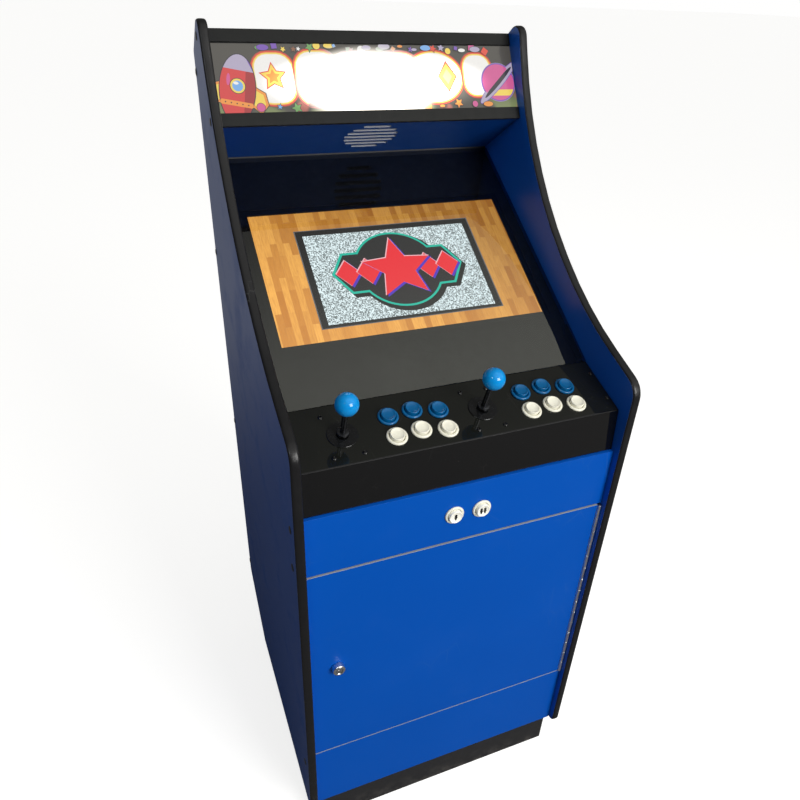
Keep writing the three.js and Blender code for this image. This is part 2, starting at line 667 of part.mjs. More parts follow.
function addRoofAndBack() {
  const roof = tilted(ROOF_FRONT, ROOF_SLOPE);
  const edge = HALF - GAP;
  // The rear end is cut upright, flush with the back; the front end clears the leaning marquee.
  const profile = [[ROOF.front, 0], [ROOF.rear, 0], [ROOF.rearUnder, -BOARD], [ROOF.frontUnder, -BOARD]];
  place(roof, 'top_panel', across(profile, 2 * edge), 'blue');
  const thick = BACK.rear - BACK.front;
  const outer = [[BACK.rear, BACK.top], [BACK.rear, CHAMFER_Z], [CHAMFER_Y + 1, BACK.foot]];
  const inner = [[CHAMFER_Y - 6, BACK.foot], [BACK.front, CHAMFER_Z + thick / 2], [BACK.front, BACK.top]];
  const { x, z } = MAINS_OPENING;
  const cut = [box([x[0], BACK.front - 9, z[0]], [x[1], BACK.rear + 9, z[1]])];
  for (let k = 0; k < VENTS.rows; k++) {
    for (const centre of VENTS.columns) {
      const vent = slotCutter(VENTS.width, VENTS.height, 3).rotateX(Math.PI / 2);
      cut.push(vent.translate(centre, BACK.front - BOARD, VENTS.from + k * VENTS.pitch));
    }
  }
  place(cabinet, 'back_panel', combine(across([...outer, ...inner], 2 * edge), { cut }), 'board');
}

addSides();
addBase();
addFrontPanels();
addHinge();
addLock();
addControlPanel();
addStartButtons();
addScreen();
addSpeaker();
addMarquee();
addRoofAndBack();

// Stand it on the floor with the middle of its footprint at the origin.
cabinet.position.set(0, -(FRONT_EDGE + REAR_EDGE) / 2, PLINTH_HEIGHT);

export default cabinet;
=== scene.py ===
"""Looks for an upright two-player arcade cabinet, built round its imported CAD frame.

Shapes are drawn in millimetres. A place, such as Face.at, sets them in the row frame, in metres: +Z up,
front facing -Y, player one on -X. Places come from the frame: a Face stands on the largest flat of a
CAD node. Every mesh has its place in its vertices, so the materials' coordinates are the row frame.
"""

import json
import random
from math import atan2, cos, pi, radians, sin

import bpy
from mathutils import Matrix, Vector


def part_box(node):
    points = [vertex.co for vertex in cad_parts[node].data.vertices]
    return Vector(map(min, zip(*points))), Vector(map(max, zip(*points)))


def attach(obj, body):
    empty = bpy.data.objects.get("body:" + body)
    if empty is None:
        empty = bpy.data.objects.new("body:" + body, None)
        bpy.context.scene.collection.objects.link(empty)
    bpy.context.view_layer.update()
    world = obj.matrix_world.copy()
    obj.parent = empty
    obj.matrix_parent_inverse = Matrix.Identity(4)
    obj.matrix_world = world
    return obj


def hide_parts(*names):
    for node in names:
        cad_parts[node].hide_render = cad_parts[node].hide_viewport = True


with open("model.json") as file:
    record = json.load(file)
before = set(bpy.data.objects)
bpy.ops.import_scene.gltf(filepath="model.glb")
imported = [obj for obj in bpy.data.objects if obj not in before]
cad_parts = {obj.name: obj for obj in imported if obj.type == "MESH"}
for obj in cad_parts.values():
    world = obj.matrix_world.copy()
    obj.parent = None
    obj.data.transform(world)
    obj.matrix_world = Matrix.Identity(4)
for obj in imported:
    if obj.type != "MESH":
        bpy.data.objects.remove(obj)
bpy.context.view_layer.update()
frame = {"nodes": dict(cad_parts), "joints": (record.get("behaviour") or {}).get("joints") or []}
NODES = frame["nodes"]

MM = 0.001
UP = Vector((0, 0, 1))
FRONT = Vector((0, -1, 0))
TURNED = 48  # facets round a visible turned piece
BOARD = 15  # thickness of the wooden boards
SHEET = 2  # thickness of the control panel
PLAYERS = ("p1", "p2")
SIDES = ("left", "right")

# ---- colours, linear ----
BLUE = (0.0003, 0.08, 0.44)
NAVY_SCUFF = (0.06, 0.17, 0.42)
BLACK_VINYL = (0.008, 0.008, 0.009)
BLACK_GLOSS = (0.0028, 0.003, 0.0036)
# a lighter black for the level top of the control panel: painted sheen
BLACK_LIT_TOP = (0.0085, 0.0092, 0.0075)
MDF_PALE = (0.4, 0.42, 0.47)
MDF_DARK = (0.27, 0.275, 0.29)
DUST = (0.35, 0.34, 0.32)
SCREEN_LEVEL = 2.4  # how brightly the display shines


# ---- places from the frame
def row(x=0, y=0, z=0):
    """The place of a shape that stands at (x, y, z) of the row frame."""
    return Matrix.Scale(MM, 4) @ Matrix.Translation((x, y, z))


def box(node):
    """The lowest and highest corners of a node at rest, in millimetres."""
    return [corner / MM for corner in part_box(node)]


def extent(points):
    """The lowest and highest corners of the rectangle round some points."""
    return [Vector([pick(p[i] for p in points) for i in (0, 1)]) for pick in (min, max)]


def joint_place(name):
    return Vector(next(j for j in frame["joints"] if j["name"] == name)["pos_m"]) / MM


class Face:
    """The largest flat of a CAD node that looks a given way: +X to the right, +Y up it, +Z outwards."""

    def __init__(self, node, towards):
        towards = Vector(towards).normalized()
        mesh = NODES[node].data
        flats = {}
        for p in mesh.polygons:
            if p.normal.dot(towards) > 0.5:
                flats.setdefault(tuple(round(c, 2) for c in p.normal), []).append(p)
        flat = max(flats.values(), key=lambda group: sum(p.area for p in group))
        self.normal = sum((p.normal * p.area for p in flat), Vector()).normalized()
        side = UP.cross(self.normal).normalized()
        axes = Matrix((side, self.normal.cross(side), self.normal))
        corners = [axes @ mesh.vertices[i].co for p in flat for i in p.vertices]
        level = max(c.z for c in corners)
        corners = [c for c in corners if c.z > level - MM / 2]
        low, high = extent(corners)
        middle = axes.transposed() @ Vector((*(low + high) / 2, level))
        self.width, self.height = (high - low) / MM
        self.matrix = Matrix.Translation(middle) @ axes.transposed().to_4x4() @ row()

    def at(self, x=0, y=0, z=0):
        """The place of a shape that stands on the face, z above it."""
        return self.matrix @ Matrix.Translation((x, y, z))

    def point(self, x=0, y=0, z=0):
        """A point of the face in the row frame."""
        return self.matrix @ Vector((x, y, z)) / MM

    def locate(self, point):
        """A point of the row frame as (x, y) on the face."""
        return (self.matrix.inverted() @ (point * MM)).xy

    def over(self, node):
        """Where a turned node stands on the face: the mean of its distinct vertices."""
        points = {tuple(round(c, 5) for c in v.co) for v in NODES[node].data.vertices}
        return self.locate(sum((Vector(p) for p in points), Vector()) / len(points) / MM)


# ---- mesh parts: (vertices, faces)
def lathe(profile, segments=TURNED):
    """Turns [(radius, height)] about +Z. A profile that ends where it starts closes on itself."""
    closed = profile[0] == profile[-1]
    rings = profile[:-1] if closed else profile
    verts, index = [], []
    for radius, height in rings:
        if radius == 0:
            index.append([len(verts)] * segments)
            verts.append(Vector((0, 0, height)))
            continue
        index.append(list(range(len(verts), len(verts) + segments)))
        for k in range(segments):
            angle = 2 * pi * k / segments
            verts.append(Vector((radius * cos(angle), radius * sin(angle), height)))
    faces = []
    for i in range(len(rings) if closed else len(rings) - 1):
        a, b = index[i], index[(i + 1) % len(rings)]
        for k in range(segments):
            j = (k + 1) % segments
            quad = [a[k], a[j], b[j], b[k]]
            face = [v for n, v in enumerate(quad) if v != quad[n - 1]]
            if len(face) > 2:
                faces.append(face)
    return verts, faces


def band(a, b, count):
    """The faces between two rings of count vertices that start at a and b."""
    return [[a + k, a + (k + 1) % count, b + (k + 1) % count, b + k] for k in range(count)]


def prism(outline, low, high):
    """A closed plate from an anticlockwise outline of (x, y)."""
    count = len(outline)
    verts = [Vector((x, y, z)) for z in (low, high) for x, y in outline]
    caps = [list(reversed(range(count))), list(range(count, 2 * count))]
    return verts, caps + band(0, count, count)


def block(width, height, radius, low, high, steps=5, x=0, y=0):
    """A plate with rounded corners."""
    return prism(rounded(width, height, radius, steps, x, y), low, high)


def swept(rings):
    """A closed skin through rings of equal length, joined end to end."""
    count = len(rings[0])
    verts = [point for ring in rings for point in ring]
    faces = []
    for k in range(len(rings)):
        faces += band(k * count, (k + 1) * count % len(verts), count)
    return verts, faces


def frame_ring(outer, inner, low, high):
    """A flat frame between two outlines that have the same number of points."""
    corners = ((outer, low), (outer, high), (inner, high), (inner, low))
    return swept([[Vector((x, y, z)) for x, y in outline] for outline, z in corners])


def moved(part, place):
    verts, faces = part
    return [place @ v for v in verts], faces


def joined(*parts):
    verts, faces = [], []
    for part_verts, part_faces in parts:
        start = len(verts)
        verts += part_verts
        faces += [[start + i for i in face] for face in part_faces]
    return verts, faces


# ---- outlines
def rounded(width, height, radius, steps=5, x=0, y=0):
    """A rectangle with rounded corners, anticlockwise."""
    points = []
    for quarter, (sx, sy) in enumerate(((1, 1), (-1, 1), (-1, -1), (1, -1))):
        cx, cy = x + sx * (width / 2 - radius), y + sy * (height / 2 - radius)
        for k in range(steps + 1):
            angle = pi / 2 * (quarter + k / steps)
            points.append((cx + radius * cos(angle), cy + radius * sin(angle)))
    return points


def rectangle(x0, y0, x1, y1):
    return [(x0, y0), (x1, y0), (x1, y1), (x0, y1)]


def regular(sides, radius, x=0, y=0, turn=0, inner=None):
    """A regular polygon, or a star when inner gives the radius between its points."""
    count = sides if inner is None else 2 * sides
    points = []
    for k in range(count):
        r = radius if inner is None or k % 2 == 0 else inner
        angle = turn + 2 * pi * k / count
        points.append((x + r * cos(angle), y + r * sin(angle)))
    return points


def stretched(points, sx, sy, x=0, y=0):
    return [(px * sx + x, py * sy + y) for px, py in points]


def turned_by(points, degrees):
    lean = Matrix.Rotation(radians(degrees), 2)
    return [tuple(lean @ Vector(p)) for p in points]


def inset(points, depth):
    """Moves a closed anticlockwise outline inwards by depth."""
    result = []
    for i, point in enumerate(points):
        here, before, after = Vector(point), Vector(points[i - 1]), Vector(points[(i + 1) % len(points)])
        arriving, leaving = (here - before).normalized(), (after - here).normalized()
        normal = (arriving + leaving).orthogonal().normalized()
        spread = normal.dot(arriving.orthogonal())
        result.append(tuple(here + normal * depth / spread))
    return result


# ---- pieces
def link(name, data):
    """Adds an object that shows this data to the scene."""
    obj = bpy.data.objects.new(name, data)
    bpy.context.scene.collection.objects.link(obj)
    return obj


def piece(name, place, part, material, body="cabinet", stands_for=(), smooth=32, bevel=0):
    """Makes one named mesh, with its normals split at edges sharper than smooth degrees."""
    verts, faces = moved(part, place)
    mesh = bpy.data.meshes.new(name)
    mesh.from_pydata([tuple(v) for v in verts], [], faces)
    mesh.polygons.foreach_set("use_smooth", [True] * len(mesh.polygons))
    mesh.set_sharp_from_angle(angle=radians(smooth))
    mesh.materials.append(material)
    obj = link(name, mesh)
    if bevel:
        soften(obj, bevel, 40)
    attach(obj, body)
    if stands_for:
        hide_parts(*stands_for)
    return obj


def copies(name, face, spots, part, material):
    """One piece with a copy of part at each (x, y) on a face."""
    parts = [moved(part, Matrix.Translation((x, y, 0))) for x, y in spots]
    piece(name, face.matrix, joined(*parts), material)


def soften(obj, width, angle):
    """Rounds off the edges sharper than angle degrees and keeps the flats flat."""
    bevel = obj.modifiers.new("edges", "BEVEL")
    bevel.width = width * MM
    bevel.segments = 2
    bevel.limit_method = "ANGLE"
    bevel.angle_limit = radians(angle)
    bevel.miter_outer = "MITER_ARC"
    normals = obj.modifiers.new("normals", "WEIGHTED_NORMAL")
    normals.keep_sharp = False


def refine(node, material, width):
    """Gives a CAD node its finish, with its flats merged and its edges rounded."""
    obj = NODES[node]
    mesh = obj.data
    if "custom_normal" in mesh.attributes:
        mesh.attributes.remove(mesh.attributes["custom_normal"])
    mesh.polygons.foreach_set("use_smooth", [width > 0] * len(mesh.polygons))
    mesh.materials.clear()
    mesh.materials.append(material)
    weld = obj.modifiers.new("weld", "WELD")
    weld.merge_threshold = MM / 100
    flats = obj.modifiers.new("flats", "DECIMATE")
    flats.decimate_type = "DISSOLVE"
    flats.angle_limit = radians(0.5)
    if width:
        soften(obj, width, 30)


def cable(name, points, radius, material):
    """A smooth round cable through points of the row frame."""
    curve = bpy.data.curves.new(name, "CURVE")
    curve.dimensions = "3D"
    curve.bevel_depth = radius * MM
    curve.bevel_resolution = 3
    curve.resolution_u = 10
    curve.use_fill_caps = True
    spline = curve.splines.new("BEZIER")
    spline.bezier_points.add(len(points) - 1)
    for knot, point in zip(spline.bezier_points, points):
        knot.co = Vector(point) * MM
        knot.handle_left_type = knot.handle_right_type = "AUTO"
    curve.materials.append(material)
    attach(link(name, curve), "cabinet")


# ---- shader building
class Shader:
    """The nodes of a material or of the world. Inputs go by name or index, as values or as sockets."""

    def __init__(self, name, world=False):
        self.owner = (bpy.data.worlds if world else bpy.data.materials).new(name)
        self.owner.use_nodes = True
        self.tree = self.owner.node_tree
        self.coords = self.add("TexCoord", out="Generated" if world else "Object")

    def add(self, kind, inputs=None, out=0, **settings):
        """Adds a node and gives its output out."""
        node = self.tree.nodes.new("ShaderNode" + kind)
        for key, value in settings.items():
            setattr(node, key, value)
        self.feed(node, inputs or {})
        return node.outputs[out]

    def feed(self, node, inputs):
        for key, value in inputs.items():
            socket = node.inputs[key]
            if isinstance(value, bpy.types.NodeSocket):
                self.tree.links.new(value, socket)
            else:
                socket.default_value = (*value, 1) if socket.type == "RGBA" else value

    def set(self, **inputs):
        """Feeds the principled shader; an underscore in a name stands for a space."""
        bsdf = self.tree.nodes["Principled BSDF"]
        self.feed(bsdf, {key.replace("_", " "): value for key, value in inputs.items()})
        return self.owner

    def skin(self, colour, roughness, relief, depth, sheen=0.5, **others):
        """A surface with a relief of depth millimetres and a specular level called sheen."""
        normal = self.add("Bump", {"Height": relief, "Distance": depth * MM, "Strength": 1})
        others.update(Base_Color=colour, Roughness=roughness, Normal=normal, Specular_IOR_Level=sheen)
        return self.set(**others)

    def show(self, shader):
        """Puts another shader on the output."""
        output = next(node for node in self.tree.nodes if node.type.startswith("OUTPUT"))
        self.feed(output, {"Surface": shader})
        return self.owner

    def glow(self, colour, strength, base=0.004, roughness=0.4, coat=0):
        """A nearly black surface that shines in a colour of its own."""
        self.set(Base_Color=(base, base, base), Roughness=roughness, Coat_Weight=coat)
        return self.set(Emission_Color=colour, Emission_Strength=strength)

    def math(self, operation, a, b=0):
        return self.add("Math", {0: a, 1: b}, operation=operation)

    def times(self, a, b):
        return self.math("MULTIPLY", a, b)

    def plus(self, a, b):
        return self.math("ADD", a, b)

    def scaled(self, scale, vector=None):
        return self.add("VectorMath", {0: vector or self.coords, 1: scale}, operation="MULTIPLY")

    def dot(self, vector, axis):
        return self.add("VectorMath", {0: vector, 1: tuple(axis)}, "Value", operation="DOT_PRODUCT")

    def axis(self, index):
        """One of the three coordinates."""
        return self.add("SeparateXYZ", {0: self.coords}, index)

    def on_face(self, face):
        """The coordinates across and up a face, in metres."""
        inverse = row() @ face.matrix.inverted()
        return [self.plus(self.dot(self.coords, inverse[i][:3]), inverse[i][3]) for i in (0, 1)]

    def noise(self, scale, detail=2, roughness=0.5, vector=None):
        inputs = {"Vector": vector or self.coords, "Scale": scale, "Detail": detail, "Roughness": roughness}
        return self.add("TexNoise", inputs)

    def remap(self, value, low, high, to_low=0, to_high=1):
        inputs = {0: value, 1: low, 2: high, 3: to_low, 4: to_high}
        return self.add("MapRange", inputs, interpolation_type="SMOOTHSTEP")

    def mix(self, share, a, b):
        return self.add("Mix", {0: share, 6: a, 7: b}, 2, data_type="RGBA")

    def blend_value(self, share, a, b):
        return self.add("Mix", {0: share, 2: a, 3: b}, data_type="FLOAT")

    def facing(self, axis):
        """How squarely the surface looks along an axis of the row frame at rest: 0 to 1."""
        true = self.add("NewGeometry", out="True Normal")
        turn = {"vector_type": "NORMAL", "convert_from": "WORLD", "convert_to": "OBJECT"}
        return self.math("ABSOLUTE", self.dot(self.add("VectorTransform", {0: true}, **turn), axis))

    def scratches(self, scale, direction, width):
        """Thin broken lines: 1 on a line and 0 elsewhere."""
        inputs = {"Vector": self.scaled(direction), "Scale": scale}
        lines = self.add("TexVoronoi", inputs, "Distance", feature="DISTANCE_TO_EDGE")
        patches = self.remap(self.noise(scale * 0.37, 3), 0.58, 0.7)
        return self.times(self.remap(lines, 0, width, 1, 0), patches)


# ---- materials
def laminate(name, axis, banded=False, sheen=0.12, shade=1, battens_painted_shade=False):
    """Satin blue laminate on the broad faces, and bare fibreboard on cut edges that aren't banded.

    sheen is its specular level, shade darkens it as painted shade, and battens paints what stands inside the
    sides black, as painted shade.
    """
    s = Shader(name)
    base = [c * shade for c in BLUE]
    broad = 1 if banded else s.remap(s.facing(axis), 0.9, 0.93)
    cloud = s.remap(s.noise(2.2, 4, 0.6), 0.3, 0.7)
    tint = s.mix(cloud, (base[0], base[1] * 0.94, base[2] * 0.95), base)
    smear = s.remap(s.noise(9, 5, 0.65), 0.48, 0.75)
    dusty = s.mix(s.times(smear, 0.005), tint, DUST)
    scuff = s.scratches(26, (1, 1, 0.35), 0.018)
    blue = s.mix(s.times(scuff, 0.16), dusty, NAVY_SCUFF)
    rough = s.plus(s.blend_value(smear, 0.36, 0.47), s.times(scuff, 0.12))
    fibres = s.noise(1400, 3, 0.7)
    pale = s.mix(s.remap(fibres, 0.35, 0.68), MDF_DARK, MDF_PALE)
    bare = s.mix(s.times(s.noise(60, 3), 0.5), pale, MDF_PALE)
    colour = s.mix(broad, bare, blue)
    # What stands inside the sides is painted black, as painted shade.
    if battens_painted_shade:
        inner_face = box("side_panel_right")[1].x - BOARD
        inside = s.math("LESS_THAN", s.math("ABSOLUTE", s.axis(0)), (inner_face - 0.1) * MM)
        colour = s.mix(inside, colour, BLACK_VINYL)
    rough = s.blend_value(broad, 0.85, rough)
    relief = s.blend_value(broad, fibres, s.times(s.noise(900, 2, 0.6), 0.12))
    return s.skin(colour, rough, relief, 0.08, sheen, Specular_Tint=(0.86, 1, 1.03))


def black_board(name):
    """Black-faced board with scuffs and a dusty foot."""
    s = Shader(name)
    scuff = s.scratches(18, (0.4, 1, 1.6), 0.03)
    low = s.remap(s.axis(2), 0, 0.05, 1, 0)
    kicked = s.times(low, s.remap(s.noise(40, 5, 0.7), 0.42, 0.7))
    worn = s.math("MAXIMUM", s.times(scuff, 0.5), s.times(kicked, 0.35))
    colour = s.mix(worn, (0.016, 0.016, 0.018), (0.13, 0.12, 0.11))
    return s.skin(colour, s.remap(s.noise(30, 4), 0.3, 0.7, 0.38, 0.55), s.noise(700, 3, 0.6), 0.05)


def edge_vinyl():
    """Black edge strip: soft shine, faint drawn lines and a few pale scuffs."""
    s = Shader("edge_vinyl")
    scuff = s.scratches(30, (3, 1, 1), 0.02)
    rough = s.remap(s.noise(50, 4, 0.6), 0.3, 0.7, 0.27, 0.42)
    colour = s.mix(s.times(scuff, 0.35), BLACK_VINYL, (0.16, 0.16, 0.165))
    return s.skin(colour, s.plus(rough, s.times(scuff, 0.2)), s.noise(260, 2), 0.06, 0.3)


def gloss_sheet():
    """Mirror-black sheet with finger smears, fine scratches and dust."""
    s = Shader("gloss_sheet")
    smear = s.remap(s.noise(14, 6, 0.7), 0.5, 0.78)
    scratch = s.scratches(60, (1, 0.35, 1), 0.012)
    specks = s.remap(s.noise(520, 1), 0.78, 0.81)
    # The fold at the front is rubbed duller than the flats, and the level part is painted a lighter black
    # than the front, as painted sheen.
    fold = s.times(s.remap(s.facing(UP), 0.9, 0.84), s.remap(s.facing(FRONT), 0.96, 0.9))
    level = s.remap(s.facing(UP), 0.9, 0.96)
    rough = s.plus(s.blend_value(smear, 0.045, 0.13), s.times(scratch, 0.12))
    mark = s.math("MAXIMUM", s.times(specks, 0.12), s.times(scratch, 0.05))
    colour = s.mix(mark, s.mix(level, BLACK_GLOSS, BLACK_LIT_TOP), DUST)
    rough = s.plus(rough, s.times(fold, 0.4))
    return s.skin(colour, rough, s.noise(160, 2), 0.012, s.blend_value(fold, 0.5, 0.14))


def moulded(name, colour, roughness=0.22, depth=0.02, worn=(0.9, 0.9, 0.9)):
    """Moulded plastic with a soft skin, faint mould texture and handling marks."""
    s = Shader(name)
    smear = s.remap(s.noise(120, 4, 0.6), 0.45, 0.75)
    scratch = s.scratches(180, (1, 1, 1), 0.02)
    tint = s.mix(s.remap(s.noise(35, 3), 0.35, 0.65), [c * 0.93 for c in colour], colour)
    s.set(Coat_Weight=0.06, Coat_Roughness=0.1)
    s.set(Subsurface_Weight=0.12, Subsurface_Radius=(1, 0.95, 0.85), Subsurface_Scale=1.5 * MM)
    rough = s.blend_value(smear, roughness, roughness + 0.12)
    return s.skin(s.mix(s.times(scratch, 0.08), tint, worn), rough, s.noise(500, 2), depth, 0.4)


def metal(name, colour, roughness, lines=(1, 1, 1), grain=900):
    """Bare or plated metal with a drawn grain and spots of tarnish."""
    s = Shader(name)
    drawn = s.noise(grain, 3, 0.6, s.scaled(lines))
    spots = s.remap(s.noise(160, 5, 0.7), 0.6, 0.78)
    rough = s.remap(drawn, 0.3, 0.7, roughness * 0.75, roughness * 1.35)
    colour = s.mix(s.times(spots, 0.45), colour, (0.25, 0.22, 0.19))
    return s.skin(colour, s.plus(rough, s.times(spots, 0.15)), drawn, 0.015, Metallic=1)


def painted(name, colour, roughness=0.35, depth=0.03, sheen=0.5):
    """Powder-coated metal: fine orange peel and rubbed spots."""
    s = Shader(name)
    rub = s.times(s.scratches(45, (1, 1, 1), 0.015), 0.2)
    rough = s.remap(s.noise(70, 4), 0.3, 0.7, roughness * 0.85, roughness * 1.2)
    return s.skin(s.mix(rub, colour, (0.3, 0.3, 0.3)), rough, s.noise(650, 2), depth, sheen)


def smoked_glass():
    """A thin tinted pane: what is behind shows through, and the front face mirrors the room."""
    s = Shader("smoked_glass")
    smear = s.remap(s.noise(7, 2, 0.5), 0.5, 0.8)
    through = s.add("BsdfTransparent", {0: (0.62, 0.63, 0.66)})
    mirror_rough = s.blend_value(smear, 0.004, 0.05)
    mirror = s.add("BsdfAnisotropic", {"Color": (0.98, 1, 0.93), "Roughness": mirror_rough})
    front = s.math("SUBTRACT", 1, s.add("NewGeometry", out="Backfacing"))
    share = s.plus(s.add("Fresnel", {"IOR": 1.72}), s.times(smear, 0.006))
    return s.show(s.add("MixShader", {0: s.times(share, front), 1: through, 2: mirror}))


# ---- shared faces and materials
panel = Face("control_panel", UP)
pane = Face("screen_glass", (0, -1, 1))
display = Face("monitor", (0, -1, 1))
marquee = Face("marquee_panel", (0, -1, 1))
start_face = Face("start_panel", FRONT)
back_face = Face("back_panel", (0, 1, 0))

BLACK_PLASTIC = moulded("black_plastic", (0.014, 0.014, 0.015), 0.3, 0.03, (0.2, 0.2, 0.2))
BLACK_SCREW = moulded("black_screw", (0.004, 0.004, 0.0045), 0.1, 0.004, (0.2, 0.2, 0.2))
ZINC = metal("zinc", (0.62, 0.63, 0.65), 0.24)
CHROME = metal("chrome", (0.78, 0.79, 0.8), 0.24, grain=300)
BLUE_PLASTIC = moulded("blue_plastic", (0.0006, 0.1, 0.27), 0.2, worn=(0.2, 0.4, 0.7))
WHITE_PLASTIC = moulded("white_plastic", (0.83, 0.81, 0.69), 0.24, worn=(0.6, 0.58, 0.5))
# The start plungers' white, lighter than the same plastic elsewhere: painted light on their dished faces.
WHITE_LIT_PLUNGER = moulded("white_lit_plunger", (0.98, 0.97, 0.87), 0.24, worn=(0.7, 0.68, 0.6))


# ---- boards and edge strips
def dress_boards():
    """Finishes of the boards that stay as CAD nodes."""
    for side in SIDES:
        refine(f"side_panel_{side}", laminate(f"laminate_side_{side}", (1, 0, 0), sheen=0.6, battens_painted_shade=True), 0)
    for node, towards in (
        ("lower_front_panel", FRONT),
        ("start_panel", FRONT),
        ("front_door", FRONT),
        ("speaker_panel", (0, -1, -1)),
        ("top_panel", (0, -0.3, 1)),
    ):
        banded = node in ("start_panel", "top_panel")
        # The speaker panel, deep under the header, has its blue darkened as painted shade.
        shadow = {"sheen": 0.5, "shade": 0.5} if node == "speaker_panel" else {}
        refine(node, laminate(f"laminate_{node}", Face(node, towards).normal, banded, **shadow), 0.4)
    refine("plinth", black_board("plinth_board"), 0.8)
    refine("back_panel", black_board("back_board"), 0.3)
    refine("screen_glass", smoked_glass(), 0)
    for node in ("marquee_retainer_bottom", "marquee_retainer_top"):
        refine(node, painted(f"{node}_paint", (0.009, 0.0095, 0.0092), 0.5, sheen=0.22), 0.5)
    refine("control_panel", gloss_sheet(), 0.25)


def edge_outline(node):
    """The outermost ring of an edge strip as (y, z), anticlockwise seen from +X."""
    mesh = NODES[node].data
    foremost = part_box(node)[0].y
    rim_x = max(v.co.x for v in mesh.vertices if abs(v.co.y - foremost) < MM / 20)
    neighbours = {}
    for edge in mesh.edges:
        ends = [mesh.vertices[i].co for i in edge.vertices]
        if all(abs(end.x - rim_x) < MM / 20 for end in ends):
            a, b = [(round(end.y, 5), round(end.z, 5)) for end in ends]
            if a != b:
                neighbours.setdefault(a, set()).add(b)
                neighbours.setdefault(b, set()).add(a)
    start = min(neighbours)
    ring = [start, min(neighbours[start], key=lambda point: point[1])]
    while ring[-1] != start:
        ring.append(next(point for point in neighbours[ring[-1]] if point != ring[-2]))
    return [(y / MM, z / MM) for y, z in ring[:-1]]


def add_edge_strips():
    """Rounded vinyl strips round the side panels, each with a barb in the board's groove."""
    material = edge_vinyl()
    depth, barb, barb_depth, steps = 2.4, 0.8, 9, 12
    for side in SIDES:
        node = f"t_molding_{side}"
        low, high = box(node)
        outline = edge_outline(node)
        half, middle = (high.x - low.x) / 2, (high.x + low.x) / 2
        section = []
        for k in range(steps + 1):
            across = -1 + 2 * k / steps
            drop = depth * (1 - (1 - abs(across) ** 3.2) ** 0.6)
            section.append((across * half, drop))
        section += [(barb, depth), (barb, barb_depth), (-barb, barb_depth), (-barb, depth)]
        rings = [[Vector((x, y, z)) for y, z in inset(outline, drop)] for x, drop in section]
        piece(f"edge_strip_{side}", row(middle), swept(rings), material, stands_for=[node],
              smooth=50)


# ---- fixings
def screw(radius, height, socket, corners=6):
    """A domed head with a polygonal socket, standing on z = 0."""
    dome = [(0, -0.2)]
    for degrees in (90, 75, 60, 45, 30):
        angle = radians(degrees)
        dome.append((radius * sin(angle), height * cos(angle) * 1.06))
    floor = height * 0.35
    verts, faces = lathe(dome + [(socket, height), (socket, floor), (0, floor)], 24)
    half_sector = pi / corners
    for v in verts:
        if abs(v.xy.length - socket) < 0.001:
            turn = atan2(v.y, v.x) % (2 * half_sector) - half_sector
            v.xy *= cos(half_sector) / cos(turn)
    return verts, faces


def add_panel_screws():
    """Four screws round each joystick and two down each side of the control panel."""
    spots = []
    for player in PLAYERS:
        x, y = panel.over(f"stick_washer_{player}")
        spots += [(x + sx * 23, y + sy * 38) for sx in (-1, 1) for sy in (-1, 1)]
    for sx in (-1, 1):
        spots += [(sx * (panel.width / 2 - 6), share * panel.height) for share in (-0.26, 0.24)]
    copies("panel_screws", panel, spots, screw(4, 2.4, 1.4), BLACK_SCREW)


def add_side_caps():
    """Black covers over the fixings, on both outer sides."""
    places = []
    for node, back, shares in (
        ("marquee_retainer_top", -5, (0.42,)),
        ("marquee_retainer_bottom", -5, (0.42,)),
        ("start_panel", 3, (0.16, 0.83)),
        ("lower_front_panel", 3, (0.82,)),
    ):
        low, high = box(node)
        places += [((low.y + high.y) / 2 + back, low.lerp(high, share).z) for share in shares]
    low, high = box("back_panel")
    places += [(high.y - 9, low.lerp(high, share).z) for share in (0.12, 0.45, 0.75, 0.992)]
    cap = lathe([(0, 0), (6.5, 0.05), (6.4, 0.5), (5.4, 1.1), (3.2, 1.5), (0, 1.6)])
    for side, towards in zip(SIDES, (-1, 1)):
        face = Face(f"side_panel_{side}", (towards, 0, 0))
        spots = [face.locate(Vector((0, y, z))) for y, z in places]
        copies(f"cap_covers_{side}", face, spots, cap, BLACK_PLASTIC)


def add_back_screws():
    """Six screws down each side of the back panel, and two along its top."""
    half_width, half_height = back_face.width / 2 - 9, back_face.height / 2 - 12
    count = 6
    spots = [(x * half_width, half_height) for x in (-0.4, 0.4)]
    for k in range(count):
        y = half_height * (2 * k / (count - 1) - 1)
        spots += [(-half_width, y), (half_width, y)]
    copies("back_screws", back_face, spots, screw(3.8, 1.6, 1.5, 4), BLACK_SCREW)


# ---- buttons
def housing():
    """Rounded rim, inner step and threaded barrel; z = 0 is the panel's face."""
    barrel = [(12, -20), (13.9, -20)]
    for k in range(12):
        z = -19 + 1.4 * k
        barrel += [(13.9, z), (13.45, z + 0.35), (13.9, z + 0.7)]
    rim = [(13.9, 0.3), (16.2, 0.3), (16.5, 0.6), (16.5, 1.4), (16.25, 2.2), (15.6, 3), (14.8, 3.36)]
    rim += [(14, 3.4), (13.4, 3.3), (12.7, 2.9), (12.2, 2.3), (12, 1.6), (12, -20)]
    return lathe(barrel + rim)


def plunger():
    """Tall plunger with a thin rolled lip and a deep dish."""
    side = [(0, -15), (11, -15), (11.4, -14.6), (11.4, 7.3), (11.25, 7.8), (10.85, 8.15)]
    lip = [(10.4, 8.2), (9.95, 8)]
    dish = [(9.4, 7.62), (8.4, 7.2), (7, 6.85), (5, 6.6), (2.6, 6.46), (0, 6.4)]
    return lathe(side + lip + dish)


